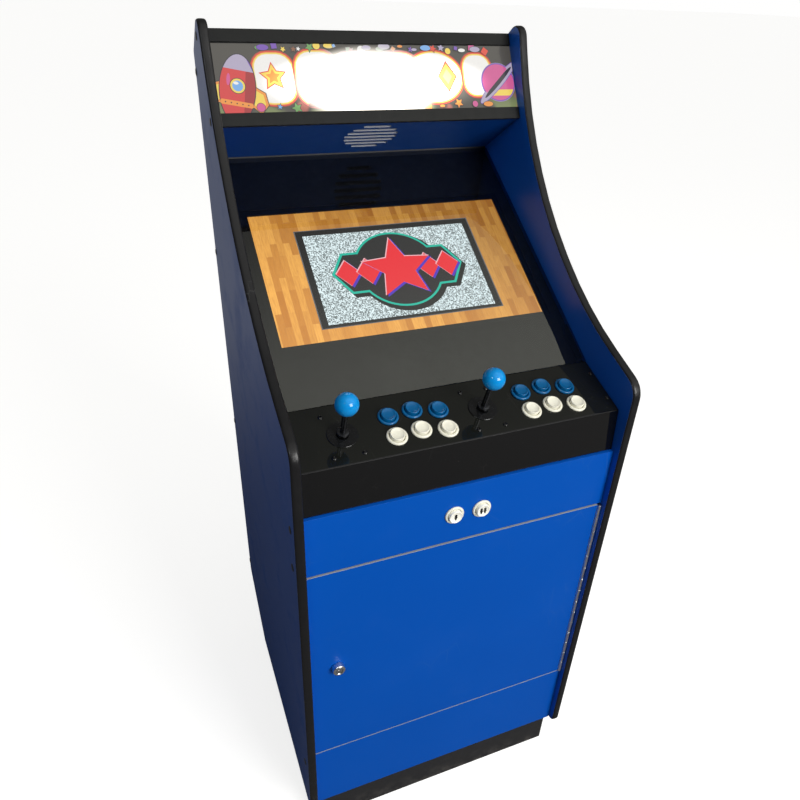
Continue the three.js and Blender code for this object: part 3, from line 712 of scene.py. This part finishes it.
def nut():
    """Hexagonal nut under the panel."""
    fine = 8
    corners = [Vector(point) for point in regular(6, 18.5)]
    outer = [corners[k - 1].lerp(corners[k], j / fine) for k in range(6) for j in range(fine)]
    return frame_ring(outer, [point.normalized() * 13.95 for point in outer], -7.5, -2.4)


def switch():
    """Microswitch clipped under a button, with two terminals."""
    tabs = [block(0.8, 5, 0.3, -45, -37, 1, x) for x in (-6, 6)]
    return joined(block(20, 10, 1, -37, -21, 2), *tabs)


def add_button(name, face, material, cap=None):
    """Rim, plunger, nut and switch; cap is the plunger's material where it differs."""
    node, moving = f"housing_{name}", f"button_{name}"
    spot = face.at(*face.over(node))
    piece(f"rim_{name}", spot, housing(), material, stands_for=[node], smooth=50)
    piece(f"plunger_{name}", spot, plunger(), cap or material, moving, [moving], smooth=50)
    below = Matrix.Translation((0, 0, 0 if face is panel else SHEET - BOARD))
    piece(f"nut_{name}", spot @ below, nut(), material, bevel=0.4)
    piece(f"switch_{name}", spot, switch(), BLACK_PLASTIC, bevel=0.3)


def person(x, scale):
    """A head and a tapering body, standing on y = 0."""
    half = [(0.55, -0.4), (0.8, 1.2), (1.5, 2.6), (1, 3.2)]
    body = half + [(-px, py) for px, py in reversed(half)]
    return [stretched(shape, scale, scale, x) for shape in (regular(20, 1.25, 0, 4.6), body)]


def add_start_marks():
    """Small printed figures in the dish of each start button: one player, two players."""
    ink = moulded("black_ink", (0.01, 0.01, 0.01), 0.35)
    for name, places in (("start_1", (0,)), ("start_2", (-3.3, 3.3))):
        x, y = start_face.over(f"housing_{name}")
        parts = [prism(outline, 6.5, 7) for place in places for outline in person(place, 1.85)]
        piece(f"mark_{name}", start_face.at(x, y - 5.6), joined(*parts), ink, f"button_{name}")


# ---- joysticks
def stem():
    """Shaft with its collar and end, and the cross pin that holds it in the gimbal."""
    shaft = [(0, -37), (5, -37), (5.5, -36.5), (5.5, -23), (4.5, -22), (4.5, 4.4), (9.2, 4.4)]
    shaft += [(9.5, 4.7), (9.5, 8.2), (9.2, 8.7), (8.6, 9), (4.5, 9), (4.5, 61.6), (0, 61.6)]
    pin = lathe([(0, -11), (1.5, -11), (1.5, 11), (0, 11)], 16)
    across = Matrix.Translation((0, 0, -14)) @ Matrix.Rotation(pi / 2, 4, "X")
    return joined(lathe(shaft), moved(pin, across))


def ball():
    """Ball top, cut flat where the shaft enters it."""
    radius, middle, start, steps = 17.5, 70, -73.7, 30
    profile = [(0, 61.9), (4.9, 61.9)]
    for k in range(steps):
        angle = radians(start + (90 - start) * k / steps)
        profile.append((radius * cos(angle), middle + radius * sin(angle)))
    return lathe(profile + [(0, middle + radius)], 64)


def washer():
    """Dust washer with a stepped edge."""
    outer = [(8.7, 0.3), (23.2, 0.3), (23.5, 0.6), (23.5, 1.1), (23.1, 1.5)]
    return lathe(outer + [(9.2, 1.5), (8.7, 1.1), (8.7, 0.3)], 64)


def add_sticks():
    blue = moulded("ball_plastic", (0.002, 0.265, 0.68), 0.06, 0.006, (0.3, 0.5, 0.8))
    steel = metal("black_steel_rod", (0.06, 0.062, 0.068), 0.28, (1, 1, 0.1), 700)
    black = moulded("washer_skin", (0.0045, 0.0048, 0.0055), 0.2, 0.01, (0.1, 0.1, 0.1))
    for player in PLAYERS:
        spot = panel.at(*panel.over(f"stick_washer_{player}"))
        for name, part, material, body, node, slot, smooth in (
            ("stem", stem(), steel, f"stick_{player}", "stick_shaft", "stick_black_steel", 32),
            ("ball", ball(), blue, f"stick_{player}", "stick_ball", "ball_plastic", 50),
            ("washer", washer(), black, "cabinet", "stick_washer", "washer_plastic", 32),
        ):
            piece(f"{name}_{player}", spot, part, material, body, [f"{node}_{player}"], smooth)
        refine(f"stick_base_{player}", painted(f"base_paint_{player}", (0.02, 0.02, 0.022)), 0.6)
        refine(f"stick_gimbal_{player}", ZINC, 0.2)


# ---- door furniture
def add_hinge():
    """Piano hinge: knuckles rolled round one pin, and a leaf on each side."""
    steel = metal("hinge_steel", (0.8, 0.8, 0.82), 0.34, (1, 1, 0.05), 500)
    knuckles, radius, edge, play, leaf = 15, 3, 0.25, 0.6, 1.2
    low, high = box("hinge_leaf_fixed")
    axis = joint_place("door_hinge")
    pitch = (high.z - low.z + play) / knuckles
    for node, sign, first, body in (
        ("hinge_leaf_fixed", 1, 0, "cabinet"),
        ("hinge_leaf_door", -1, 1, "front_door"),
    ):
        near, far = sorted((sign * (radius - leaf), sign * radius))
        parts = []
        for k in range(first, knuckles, 2):
            bottom = low.z + k * pitch
            top = bottom + pitch - play
            profile = [(0, bottom), (radius - edge, bottom), (radius, bottom + edge)]
            profile += [(radius, top - edge), (radius - edge, top), (0, top)]
            parts.append(lathe(profile, 24))
        parts.append(prism(rectangle(near, 0, far, high.y - axis.y), low.z, high.z))
        piece(f"{node}_rolled", row(axis.x, axis.y), joined(*parts), steel, body, [node], 40)


def add_lock():
    """Cam lock: chromed barrel with its nut, keyed plug and cam."""
    door_face = Face("front_door", FRONT)
    spot = door_face.at(*door_face.locate(joint_place("lock_turn")))
    barrel = [(6.4, -22), (9.4, -22), (9.4, 0.3), (10.6, 0.3), (11, 0.8), (11, 9.4), (10.4, 10.5)]
    barrel += [(9.4, 11), (7, 11), (6.4, 10.5), (6.4, -22)]
    shell = joined(lathe(barrel), prism(regular(6, 13), -20, -15.3))
    piece("lock_shell", spot, shell, CHROME, "front_door", ["lock_barrel"], 35)
    refine("lock_cam", metal("plug_steel", (0.7, 0.7, 0.7), 0.18), 0.3)


# ---- flat prints
class Print:
    """Flat inks laid one over another on a face, as one mesh that carries its colours."""

    def __init__(self, face, start, step, half_width, half_height):
        self.face, self.next, self.step = face, start, step
        self.half_sizes = (half_width, half_height)
        self.verts, self.faces, self.colours = [], [], []

    def clipped(self, points):
        """Cuts an outline off at the four edges of the printed area."""
        for axis, sign in ((0, 1), (0, -1), (1, 1), (1, -1)):
            limit = self.half_sizes[axis]
            kept = []
            for i, here in enumerate(points):
                before = points[i - 1]
                here_in = sign * here[axis] <= limit
                if here_in != (sign * before[axis] <= limit):
                    share = (sign * limit - before[axis]) / (here[axis] - before[axis])
                    kept.append(tuple(b + share * (h - b) for b, h in zip(before, here)))
                if here_in:
                    kept.append(here)
            points = kept
        return points

    def put(self, points, colour):
        """Adds a ring of points and gives the index of its first."""
        self.verts += [Vector((x, y, self.next)) for x, y in points]
        self.colours += [colour] * len(points)
        return len(self.verts) - len(points)

    def lay(self, outline, colour, x=0, y=0):
        points = self.clipped([(px + x, py + y) for px, py in outline])
        if len(points) > 2:
            start = self.put(points, colour)
            self.faces.append(list(range(start, len(self.verts))))
            self.next += self.step

    def halo(self, outline, rims, x=0, y=0):
        """Soft rims round an outline: [(how far out, colour)] from the inside outwards."""
        wide, high = self.half_sizes
        for i, (out, colour) in enumerate(rims):
            points = stretched(inset(outline, -out), 1, 1, x, y)
            points = [(max(-wide, min(wide, px)), max(-high, min(high, py))) for px, py in points]
            start = self.put(points, colour)
            if i:
                self.faces += band(start, start - len(points), len(points))
        self.next += self.step

    def finish(self, name, material):
        obj = piece(name, self.face.matrix, (self.verts, self.faces), material)
        ink = obj.data.color_attributes.new("ink", "FLOAT_COLOR", "POINT")
        ink.data.foreach_set("color", [c for colour in self.colours for c in (*colour, 1)])


# ---- display
def screen_pixels(name):
    """Lit patches of the display in their own ink colours, with its fine line pattern."""
    s = Shader(name)
    colour = s.add("Attribute", attribute_name="ink")
    lines = s.math("SINE", s.times(s.axis(0), 2 * pi / (0.9 * MM)))
    return s.glow(colour, s.times(s.remap(lines, -1, 1, 0.9, 1.05), SCREEN_LEVEL))


def plank_picture():
    """Upright wooden planks, lit from behind, brighter at the lower left."""
    s = Shader("plank_picture")
    across, up = s.on_face(display)
    turned_coords = s.add("CombineXYZ", {0: up, 1: across})
    inputs = {"Vector": turned_coords, "Scale": 1, "Brick Width": 0.071, "Row Height": 0.0112}
    inputs.update({"Color1": (1, 0.475, 0.085), "Color2": (0.56, 0.19, 0.02), "Bias": -0.12})
    inputs.update({"Mortar": (0.66, 0.29, 0.055), "Mortar Size": 0.0002, "Mortar Smooth": 0.6})
    planks = s.add("TexBrick", inputs, offset=0.37, offset_frequency=2)
    grain = s.noise(6, 4, 0.6, s.scaled((9, 70, 1), turned_coords))
    shaded = s.mix(s.remap(grain, 0.35, 0.75, 0, 0.4), planks, (0.48, 0.18, 0.03))
    slope = s.math("SUBTRACT", s.times(up, -2.4), s.times(across, 1.4))
    return s.glow(shaded, s.remap(slope, -0.5, 0.5, 1.35, 2.75))


def snow_picture():
    """Black and white picture noise in small square cells."""
    s = Shader("picture_snow")
    cell = 1.55 * MM
    snapped = s.add("VectorMath", {0: s.coords, 1: (cell, cell, cell)}, operation="SNAP")
    value = s.add("TexWhiteNoise", {"Vector": snapped}, noise_dimensions="3D")
    level = s.remap(value, 0.2, 0.85, 0.06, 1)
    return s.glow(s.mix(level, (0.1, 0.12, 0.11), (1.02, 1.17, 1.1)), SCREEN_LEVEL)


def add_display():
    """Widescreen display: bezel, casing with mounting bar, lit picture and the card round it."""
    place, slot = display.matrix, "monitor_plastic"
    width, height = 476.6, 268
    bezel = frame_ring(rounded(display.width, display.height, 3, 3), rounded(width, height, 0.5, 3), -12, 0)
    piece("display_bezel", place, bezel, BLACK_PLASTIC, bevel=0.5)
    low, high = box("monitor")
    case = joined(
        block(display.width - 6, display.height - 6, 6, -14, -12.1, 4),
        block(262, 160, 10, -40, -14, y=5),
        block(high.x - low.x, 40, 1, -54, -40, 2),
    )
    piece("display_case", place, case, BLACK_PLASTIC, stands_for=["monitor"], bevel=0.8)
    piece("display_picture", place, block(width, height, 0.5, -3, -2, 3), plank_picture())
    # The card fills the space between the display and the cabinet, close under the glass.
    card_outer = rounded(pane.width - 2, pane.height - 6, 1, 3, *display.locate(pane.point()))
    card_inner = rounded(display.width - 8, display.height - 8, 1, 3)
    black = painted("surround_card", (0.01, 0.01, 0.011), 0.8, 0)
    piece("surround_card", place, frame_ring(card_outer, card_inner, 1, 3), black)
    add_picture_shapes(width, height)


def add_picture_shapes(width, height):
    """An invented title picture: a window of picture noise, with a star and squares on a badge."""

    def window(u0, v0, u1, v1):
        """A rectangle given in shares of the picture."""
        return stretched(rectangle(u0 - 0.5, v0 - 0.5, u1 - 0.5, v1 - 0.5), width, height)

    ink, frame_grey, plate = (0.006, 0.006, 0.007), (0.14, 0.14, 0.14), (0.016, 0.015, 0.016)
    teal, red, pale, violet = (0.004, 0.55, 0.36), (0.95, 0.022, 0.034), (1, 0.52, 0.52), (0.09, 0.03, 0.5)
    window_print = Print(display, -1.95, 0.02, width / 2, height / 2)
    window_print.lay(window(0.15, 0.088, 0.852, 0.852), frame_grey)
    window_print.lay(window(0.154, 0.094, 0.848, 0.846), ink)
    window_print.finish("picture_window", screen_pixels("picture_window"))
    snow = prism(window(0.178, 0.115, 0.823, 0.806), -1.89, -1.87)
    piece("picture_snow", display.matrix, snow, snow_picture())

    badge_print = Print(display, -1.8, 0.03, width / 2, height / 2)
    lay = badge_print.lay
    y, wide, tall, cut = -0.02 * height, 0.25 * width, 0.15 * height, 0.09 * height
    badge = [(-wide, 0), (cut - wide, -tall), (wide - cut, -tall)]
    badge += [(wide, 0), (wide - cut, tall), (cut - wide, tall)]
    disc = regular(48, 0.3 * height)
    lay(inset(badge, -4), ink, 5, y - 7)
    lay(inset(disc, -4), ink, 4, y - 6)
    lay(inset(badge, -3), teal, 0, y)
    lay(disc, teal, 0, y)
    lay(inset(badge, 1.5), plate, 0, y)
    lay(inset(disc, 4), plate, 0, y)
    star = regular(5, 0.255 * height, turn=pi / 2, inner=0.115 * height)
    square = stretched(regular(4, 0.105 * height), 0.8, 1)
    squares = [(square, share * width) for share in (-0.196, -0.1176, 0.1176, 0.196)]
    for shape, x in squares + [(star, 0)]:
        lay(shape, violet, x + 3, y - 2.6)
        lay(shape, pale, x - 0.8, y + 1.3)
        lay(inset(shape, 0.8), red, x, y)
    badge_print.finish("picture_badge", screen_pixels("picture_badge"))


# ---- header
HEADER_WINDOW = 54.6  # half the height seen between the retainers

WHITE, YELLOW, RED = (1, 0.98, 0.94), (1, 0.74, 0.12), (0.85, 0.09, 0.05)
SCARLET, ORANGE, LILAC = (0.74, 0.055, 0.055), (0.95, 0.34, 0.06), (0.5, 0.44, 0.6)
VIOLET, ROSE, SKY = (0.22, 0.1, 0.5), (0.72, 0.12, 0.34), (0.22, 0.48, 0.9)
BROWN, INK, GREEN = (0.28, 0.12, 0.06), (0.035, 0.032, 0.045), (0.18, 0.4, 0.12)
GROUND, RED_SHADE = (0.066, 0.06, 0.05), (0.42, 0.03, 0.035)
HALO = [(-1.5, WHITE), (0.2, WHITE), (1.6, YELLOW), (2.6, YELLOW), (4.2, RED), (5.2, RED), (7.5, GROUND)]


class LampLit(Shader):
    """A print on the header with the lamp behind it: hot in the middle, dim towards the ends."""

    def __init__(self, name):
        super().__init__(name)
        self.places = self.on_face(marquee)

    def washed(self, x, y, half_width, half_height):
        """Squared distance from (x, y) on the header, 1 on the ellipse of that size, in metres."""
        squares = []
        for place, middle, half in zip(self.places, (x, y), (half_width, half_height)):
            share = self.math("DIVIDE", self.math("SUBTRACT", place, middle), half)
            squares.append(self.times(share, share))
        return self.plus(*squares)

    def level(self, dim, hot):
        """Brightness from dim at the ends to dim and hot together in the middle."""
        spot = self.remap(self.washed(0.012, -0.01, 0.225, 0.062), 0.02, 1, 1, 0)
        grain = self.remap(self.noise(700, 2), 0.3, 0.7, 0.94, 1)
        return self.times(grain, self.plus(dim, self.times(self.math("POWER", spot, 1.6), hot)))


def header_ground():
    """The print's ground: warm grey with soft green and rose clouds towards the foot."""
    s = LampLit("header_ground")
    low = s.remap(s.places[1], -0.055, -0.014, 1, 0)
    cloud = s.times(low, s.remap(s.noise(15, 2), 0.44, 0.62))
    green = s.mix(cloud, GROUND, (0.19, 0.23, 0.09))
    rose = s.times(low, s.remap(s.noise(24, 2), 0.56, 0.68))
    ground = s.mix(rose, green, (0.38, 0.12, 0.09))
    # The lamp washes the print out from its middle down to its foot.
    foot = s.remap(s.washed(-0.01, -0.055, 0.115, 0.05), 0.25, 1, 1, 0)
    middle = s.remap(s.washed(-0.01, 0.000, 0.12, 0.054), 0.45, 1.05, 1, 0)
    ground = s.mix(s.math("MAXIMUM", foot, middle), ground, (1, 0.92, 0.8))
    shown = s.math("LESS_THAN", s.math("ABSOLUTE", s.places[1]), HEADER_WINDOW * MM)
    return s.glow(ground, s.times(s.level(1, 9), shown), 0.02, 0.18, 0.3)


def header_inks():
    """Translucent inks, each in the colour its mesh carries, lit by the lamp."""
    s = LampLit("header_inks")
    colour = s.add("Attribute", attribute_name="ink")
    # Near the lamp even the deep inks glow white.
    share = s.remap(s.washed(-0.012, -0.012, 0.135, 0.075), 0.45, 1, 0.97, 0)
    return s.glow(s.mix(share, colour, WHITE), s.level(0.85, 7), 0.02, 0.18, 0.3)


def add_header():
    """Back-lit header print: an invented scene with a bright cloud, a rocket and a ringed planet."""
    refine("marquee_panel", header_ground(), 0)
    sheet = Print(marquee, 0.05, 0.012, marquee.width / 2 - 1, HEADER_WINDOW)
    cloud = (
        (rounded(60, 76, 22), -172, -1),
        (rounded(66, 84, 24), -100, -1),
        (rounded(92, 84, 34), -28, -4),
        (rounded(80, 78, 30), 44, 0),
        (stretched(regular(48, 41), 1.22, 1), 112, 0),
        (rounded(50, 68, 20), 196, 3),
    )
    for shape, x, y in cloud:
        sheet.halo(shape, HALO, x, y)
    for shape, x, y in cloud:
        sheet.lay(inset(shape, 1.4), WHITE, x, y)
    for size, colour in ((24, RED), (20.5, YELLOW), (12.5, ORANGE)):
        sheet.lay(regular(5, size, turn=0.35, inner=size * 0.5), colour, -174, 2)
    for size, colour in ((25, RED), (21, ORANGE), (12, YELLOW)):
        sheet.lay(stretched(regular(4, size), 0.75, 1.1), colour, 136, 1)
    add_header_rocket(sheet)
    add_header_planet(sheet)
    add_header_confetti(sheet)
    sheet.finish("header_print", header_inks())


def add_header_rocket(sheet):
    """A stubby red rocket leaning in from the left end."""
    x, y, lean = -234, -16, -11
    hull = stretched(regular(44, 1), 28, 54)
    fin = [(20, -22), (40, -34), (50, -18), (44, 0), (24, 8)]
    mirrored = [(-px, py) for px, py in reversed(fin)]
    flame = [(-14, -46), (-6, -66), (0, -52), (7, -68), (14, -46)]
    shade = [(px, py) for px, py in hull if px > 8]
    shapes = [(inset(flame, -1.5), YELLOW), (flame, RED)]
    for part in (fin, mirrored):
        shapes += [(inset(part, -1.2), INK), (part, ORANGE), (inset(part, 4), YELLOW)]
    shapes += [
        (inset(hull, -1.3), INK),
        (hull, SCARLET),
        (shade, RED_SHADE),
        ([p for p in hull if p[1] > 26], LILAC),
        ([p for p in shade if p[1] > 26], VIOLET),
        (stretched(regular(20, 4), 0.7, 2.4, -15, 12), ROSE),
        (rounded(52, 8, 3, y=-24), ORANGE),
        (regular(28, 12.5, 0, 4), INK),
        (regular(28, 11.5, 0, 4), YELLOW),
        (regular(28, 8.5, 0, 4), SKY),
        (stretched(regular(16, 3), 1.4, 0.8, -3, 8), WHITE),
    ]
    shapes += [(regular(10, 1.1, px, -24), INK) for px in range(-18, 19, 9)]
    for shape, colour in shapes:
        sheet.lay(turned_by(shape, lean), colour, x, y)


def add_header_planet(sheet):
    """A ringed planet at the right end."""
    x, y, tilt = 236, -10, 42
    disc = regular(60, 32)
    ring = stretched(regular(60, 1), 54, 8.5)
    gap = stretched(regular(60, 1), 41, 4)
    front = [p for p in turned_by(disc, -tilt) if p[1] > 1]
    sheet.halo(disc, [(0, VIOLET), (1.6, VIOLET), (2.6, LILAC)], x, y)
    for shape, turn, colour in (
        (disc, 0, ROSE),
        ([p for p in disc if p[1] > 12], 0, VIOLET),
        ([p for p in disc if -24 < p[1] < -12], 0, YELLOW),
        (inset(ring, -1), tilt, VIOLET),
        (ring, tilt, LILAC),
        (gap, tilt, INK),
        (front, tilt, ROSE),
    ):
        sheet.lay(turned_by(shape, turn), colour, x, y)


def add_header_confetti(sheet):
    """Small stars, dots and squares along the head and foot of the print."""
    dice = random.Random(11)
    colours = (SKY, YELLOW, ROSE, WHITE, GREEN, ORANGE, BROWN, VIOLET, LILAC, RED)
    count, start, length = 44, -205, 430
    for k in range(count):
        x = start + length * (k + 0.8 * dice.random()) / count
        y = (48 if k % 3 else -47) + (dice.random() - 0.5) * 8
        size = 2.8 + 4.2 * dice.random()
        turn = dice.random() * pi
        shape = dice.choice((
            regular(5, size * 1.3, turn=turn, inner=size * 0.6),
            regular(20, size),
            regular(4, size * 1.2, turn=turn),
            stretched(regular(20, size), 1.5, 0.7),
        ))
        colour = dice.choice(colours)
        sheet.lay(inset(shape, -0.7), INK, x, y)
        sheet.lay(shape, colour, x, y)


# ---- inside and behind
def add_speaker():
    """Loudspeaker behind the grille: basket, rolled surround, cone and dust cap."""
    speaker_face = Face("speaker_panel", (0, -1, -1))
    spot = speaker_face.at(*speaker_face.over("speaker"))
    basket = [(0, -46), (27, -46), (28, -45), (28, -35), (26, -34), (50, -16), (52, -15.4), (52, -12.6)]
    basket += [(51.6, -12.3), (47, -12.3), (46, -13), (46, -16), (18, -22.3), (0, -22.3)]
    steel = painted("speaker_basket", (0.02, 0.02, 0.022), 0.45)
    piece("speaker_driver", spot, lathe(basket), steel, stands_for=["speaker"])
    paper = painted("speaker_paper", (0.03, 0.03, 0.03), 0.8, 0.1)
    roll = [(46, -13.4), (44.5, -12.6), (42.5, -12.4), (40.5, -13.2), (39.5, -14.6)]
    cone = [(15, -21), (14, -19.4), (11, -17.6), (7, -16.5), (3, -16.1), (0, -16)]
    rear = [(0, -22), (15, -22.2), (40, -16.4), (46, -14.4), roll[0]]
    piece("speaker_cone", spot, lathe(roll + cone + rear), paper)


def add_inside():
    """Game computer, power supply and wiring, seen when the door is open."""
    low, high = box("plinth")
    grey = painted("case_grey", (0.11, 0.115, 0.12), 0.45)
    slits = [block(120, 2.4, 1, 44, 44.6, 2, y=y) for y in range(-30, 31, 8)]
    feet = [block(12, 12, 3, 0, 2, 3, x, y) for x in (-72, 72) for y in (-47, 47)]
    computer = joined(block(170, 120, 4, 2, 44), *slits, *feet)
    piece("game_computer", row(-100, 20, high.z), computer, grey, bevel=1)
    slits = [block(3, 56, 1.2, 40, 40.6, 2, x) for x in range(-56, 57, 8)]
    supply = joined(block(150, 84, 2, 0, 40), *slits)
    piece("power_supply", row(130, 30, high.z), supply, ZINC, bevel=0.8)
    near, far = high.y + 0.4, box("back_panel")[0].y - 0.4
    rail = block(high.x - low.x, far - near, 1, high.z - 11, high.z - 1, 2, y=(near + far) / 2)
    piece("foot_rail", row(), rail, black_board("rail_board"), bevel=0.4)
    rubber = moulded("cable_rubber", (0.012, 0.012, 0.013), 0.4)
    top = high.z + 30
    for name, radius, points in (
        ("cable_panel_loom", 4, [(-100, 70, top), (-200, 120, 450), (-160, -50, 750), panel.point(z=-70)]),
        ("cable_supply", 3.4, [(130, 70, top), (200, 160, 220), (194, 240, 260), (194, 272, 290)]),
        ("cable_link", 2.4, [(-20, 20, top - 8), (20, -20, top + 20), (55, 20, top)]),
    ):
        cable(name, points, radius, rubber)
    red_wire = moulded("wire_red", (0.5, 0.02, 0.015), 0.35)
    for player in PLAYERS:
        for line in ("top", "low"):
            points = []
            for k in (1, 2, 3):
                x, y = panel.over(f"housing_{player}_{line}_{k}")
                points += [panel.point(x - 6, y, -44), panel.point(x + 12, y - 4, -52)]
            cable(f"wire_{player}_{line}", points, 0.9, red_wire)


def add_mains_inlet():
    """Mains inlet with a rocker switch, filling the opening in the back panel."""
    rear = back_face.point().y
    near_floor = box("plinth")[1].z + 250
    corners = []
    for vertex in NODES["back_panel"].data.vertices:
        point = vertex.co / MM
        inner = abs(point.x) < back_face.width / 2 - 20
        if inner and abs(point.y - rear) < 0.1 and point.z < near_floor:
            corners.append(back_face.locate(point))
    low, high = extent(corners)
    width, height = high - low
    spot = back_face.at(*(low + high) / 2)
    socket_x = -0.19 * width
    socket = rounded(0.5 * width, 0.72 * height, 3, 4, socket_x)
    inlet = joined(
        frame_ring(rounded(width + 12, height + 6, 2, 4), socket, 0.2, 2.4),
        frame_ring(rounded(width - 2, height - 2, 2, 4), socket, -22, 0.2),
        block(width - 2, height - 2, 2, -24, -22, 4),
        block(0.24 * width, 0.62 * height, 1.4, 2.4, 4.4, 3, 0.32 * width),
    )
    piece("mains_inlet", spot, inlet, BLACK_PLASTIC, bevel=0.4)
    pins = [block(1.4, 4, 0.4, -22, -6, 2, socket_x + x, y) for x, y in ((-4.5, 1.5), (4.5, 1.5), (0, -2.5))]
    piece("mains_pins", spot, joined(*pins), ZINC)


# ---- stage
def add_floor():
    """A floor that looks pale to the camera and throws little light back at the cabinet."""
    s = Shader("floor")
    seen = s.add("LightPath", out="Is Camera Ray")
    speck = s.remap(s.noise(60, 3), 0.3, 0.7, 0.985, 1)
    pale = s.mix(speck, (0.5, 0.5, 0.495), (0.53, 0.53, 0.525))
    rearward = s.axis(1)
    unseen = s.plus(s.remap(rearward, 0.7, 2.6, 0, 0.24), s.remap(rearward, 4, 14, 0, 0.16))
    s.set(Base_Color=s.mix(seen, (0.16, 0.155, 0.15), pale), Roughness=0.9, Specular_IOR_Level=0.1)
    s.set(Emission_Color=(1, 1, 1), Emission_Strength=s.blend_value(seen, unseen, 0.76))
    reach = 90
    mesh = bpy.data.meshes.new("floor")
    mesh.from_pydata([(x, y, 0) for x, y in rectangle(-reach, -reach, reach, reach)], [], [[0, 1, 2, 3]])
    mesh.materials.append(s.owner)
    link("floor", mesh)


def add_world():
    """Soft room light: bright from the front right, grey overhead, dim behind and to the left."""
    s = Shader("room", world=True)
    bpy.context.scene.world = s.owner
    rightward, rearward, upward = [s.axis(i) for i in range(3)]
    bright = s.dot(s.coords, Vector((0.45, -0.45, 0.77)).normalized())
    ceiling = s.times(s.remap(bright, 0.5, 1, 0, 0.85), s.remap(rearward, -0.12, 0.27, 1, 0.05))
    wall = s.times(s.remap(rearward, 0.4, 0.95, 0, 0.38), s.remap(upward, 0.1, 0.5, 1, 0))
    left_side = s.remap(rightward, -0.8, -0.25, 0.34, 1)
    level = s.times(s.plus(s.plus(ceiling, wall), 0.15), left_side)
    room = s.add("Background", {"Color": (1, 0.99, 0.94), "Strength": level})
    plain = s.add("Background", {"Color": (1, 1, 0.995), "Strength": 1})
    seen = s.add("LightPath", out="Is Camera Ray")
    s.show(s.add("MixShader", {0: seen, 1: room, 2: plain}))


def add_light(name, place, target, size, watts, colour):
    light = bpy.data.lights.new(name, "AREA")
    light.shape = "SQUARE"
    light.size = size
    light.energy = watts
    light.color = colour
    lamp = link(name, light)
    lamp.location = place
    lamp.rotation_mode = "QUATERNION"
    lamp.rotation_quaternion = (Vector(target) - Vector(place)).to_track_quat("-Z", "Y")


def add_lights():
    add_light("key", (1.3, -3.4, 2.25), (0, -0.1, 0.75), size=1.8, watts=128, colour=(1, 0.99, 0.975))
    add_light("window", (-1.5, -1.6, 2.6), (0, -0.2, 1), size=0.5, watts=9, colour=(0.95, 0.98, 1))


# Solved from the cabinet's own edges: where the picture was taken from, and which way it looked.
CAMERA_PLACE = (-0.42843, -0.99105, 1.48802)
CAMERA_HEADING = 22.785
CAMERA_PITCH = -31.458
CAMERA_ROLL = 2.386
CAMERA_LENS = 30.31


def add_camera():
    data = bpy.data.cameras.new("camera")
    data.lens = CAMERA_LENS
    data.sensor_width = 36
    data.clip_start = 0.02
    data.clip_end = 300
    camera = link("camera", data)
    camera.matrix_world = Matrix.Translation(CAMERA_PLACE)
    for degrees, axis in ((-CAMERA_HEADING, "Z"), (90 + CAMERA_PITCH, "X"), (CAMERA_ROLL, "Z")):
        camera.matrix_world = camera.matrix_world @ Matrix.Rotation(radians(degrees), 4, axis)
    bpy.context.scene.camera = camera


dress_boards()
add_edge_strips()
add_panel_screws()
add_side_caps()
add_back_screws()
for player in PLAYERS:
    for line, colour, plastic in (("top", "blue", BLUE_PLASTIC), ("low", "white", WHITE_PLASTIC)):
        for k in (1, 2, 3):
            add_button(f"{player}_{line}_{k}", panel, plastic)
for start in ("start_1", "start_2"):
    # The start plungers take the lighter white, as painted light.
    add_button(start, start_face, WHITE_PLASTIC, WHITE_LIT_PLUNGER)
add_start_marks()
add_sticks()
add_hinge()
add_lock()
add_display()
add_header()
add_speaker()
add_inside()
add_mains_inlet()
add_floor()
add_world()
add_lights()
add_camera()
bpy.context.scene.view_settings.view_transform = "Standard"
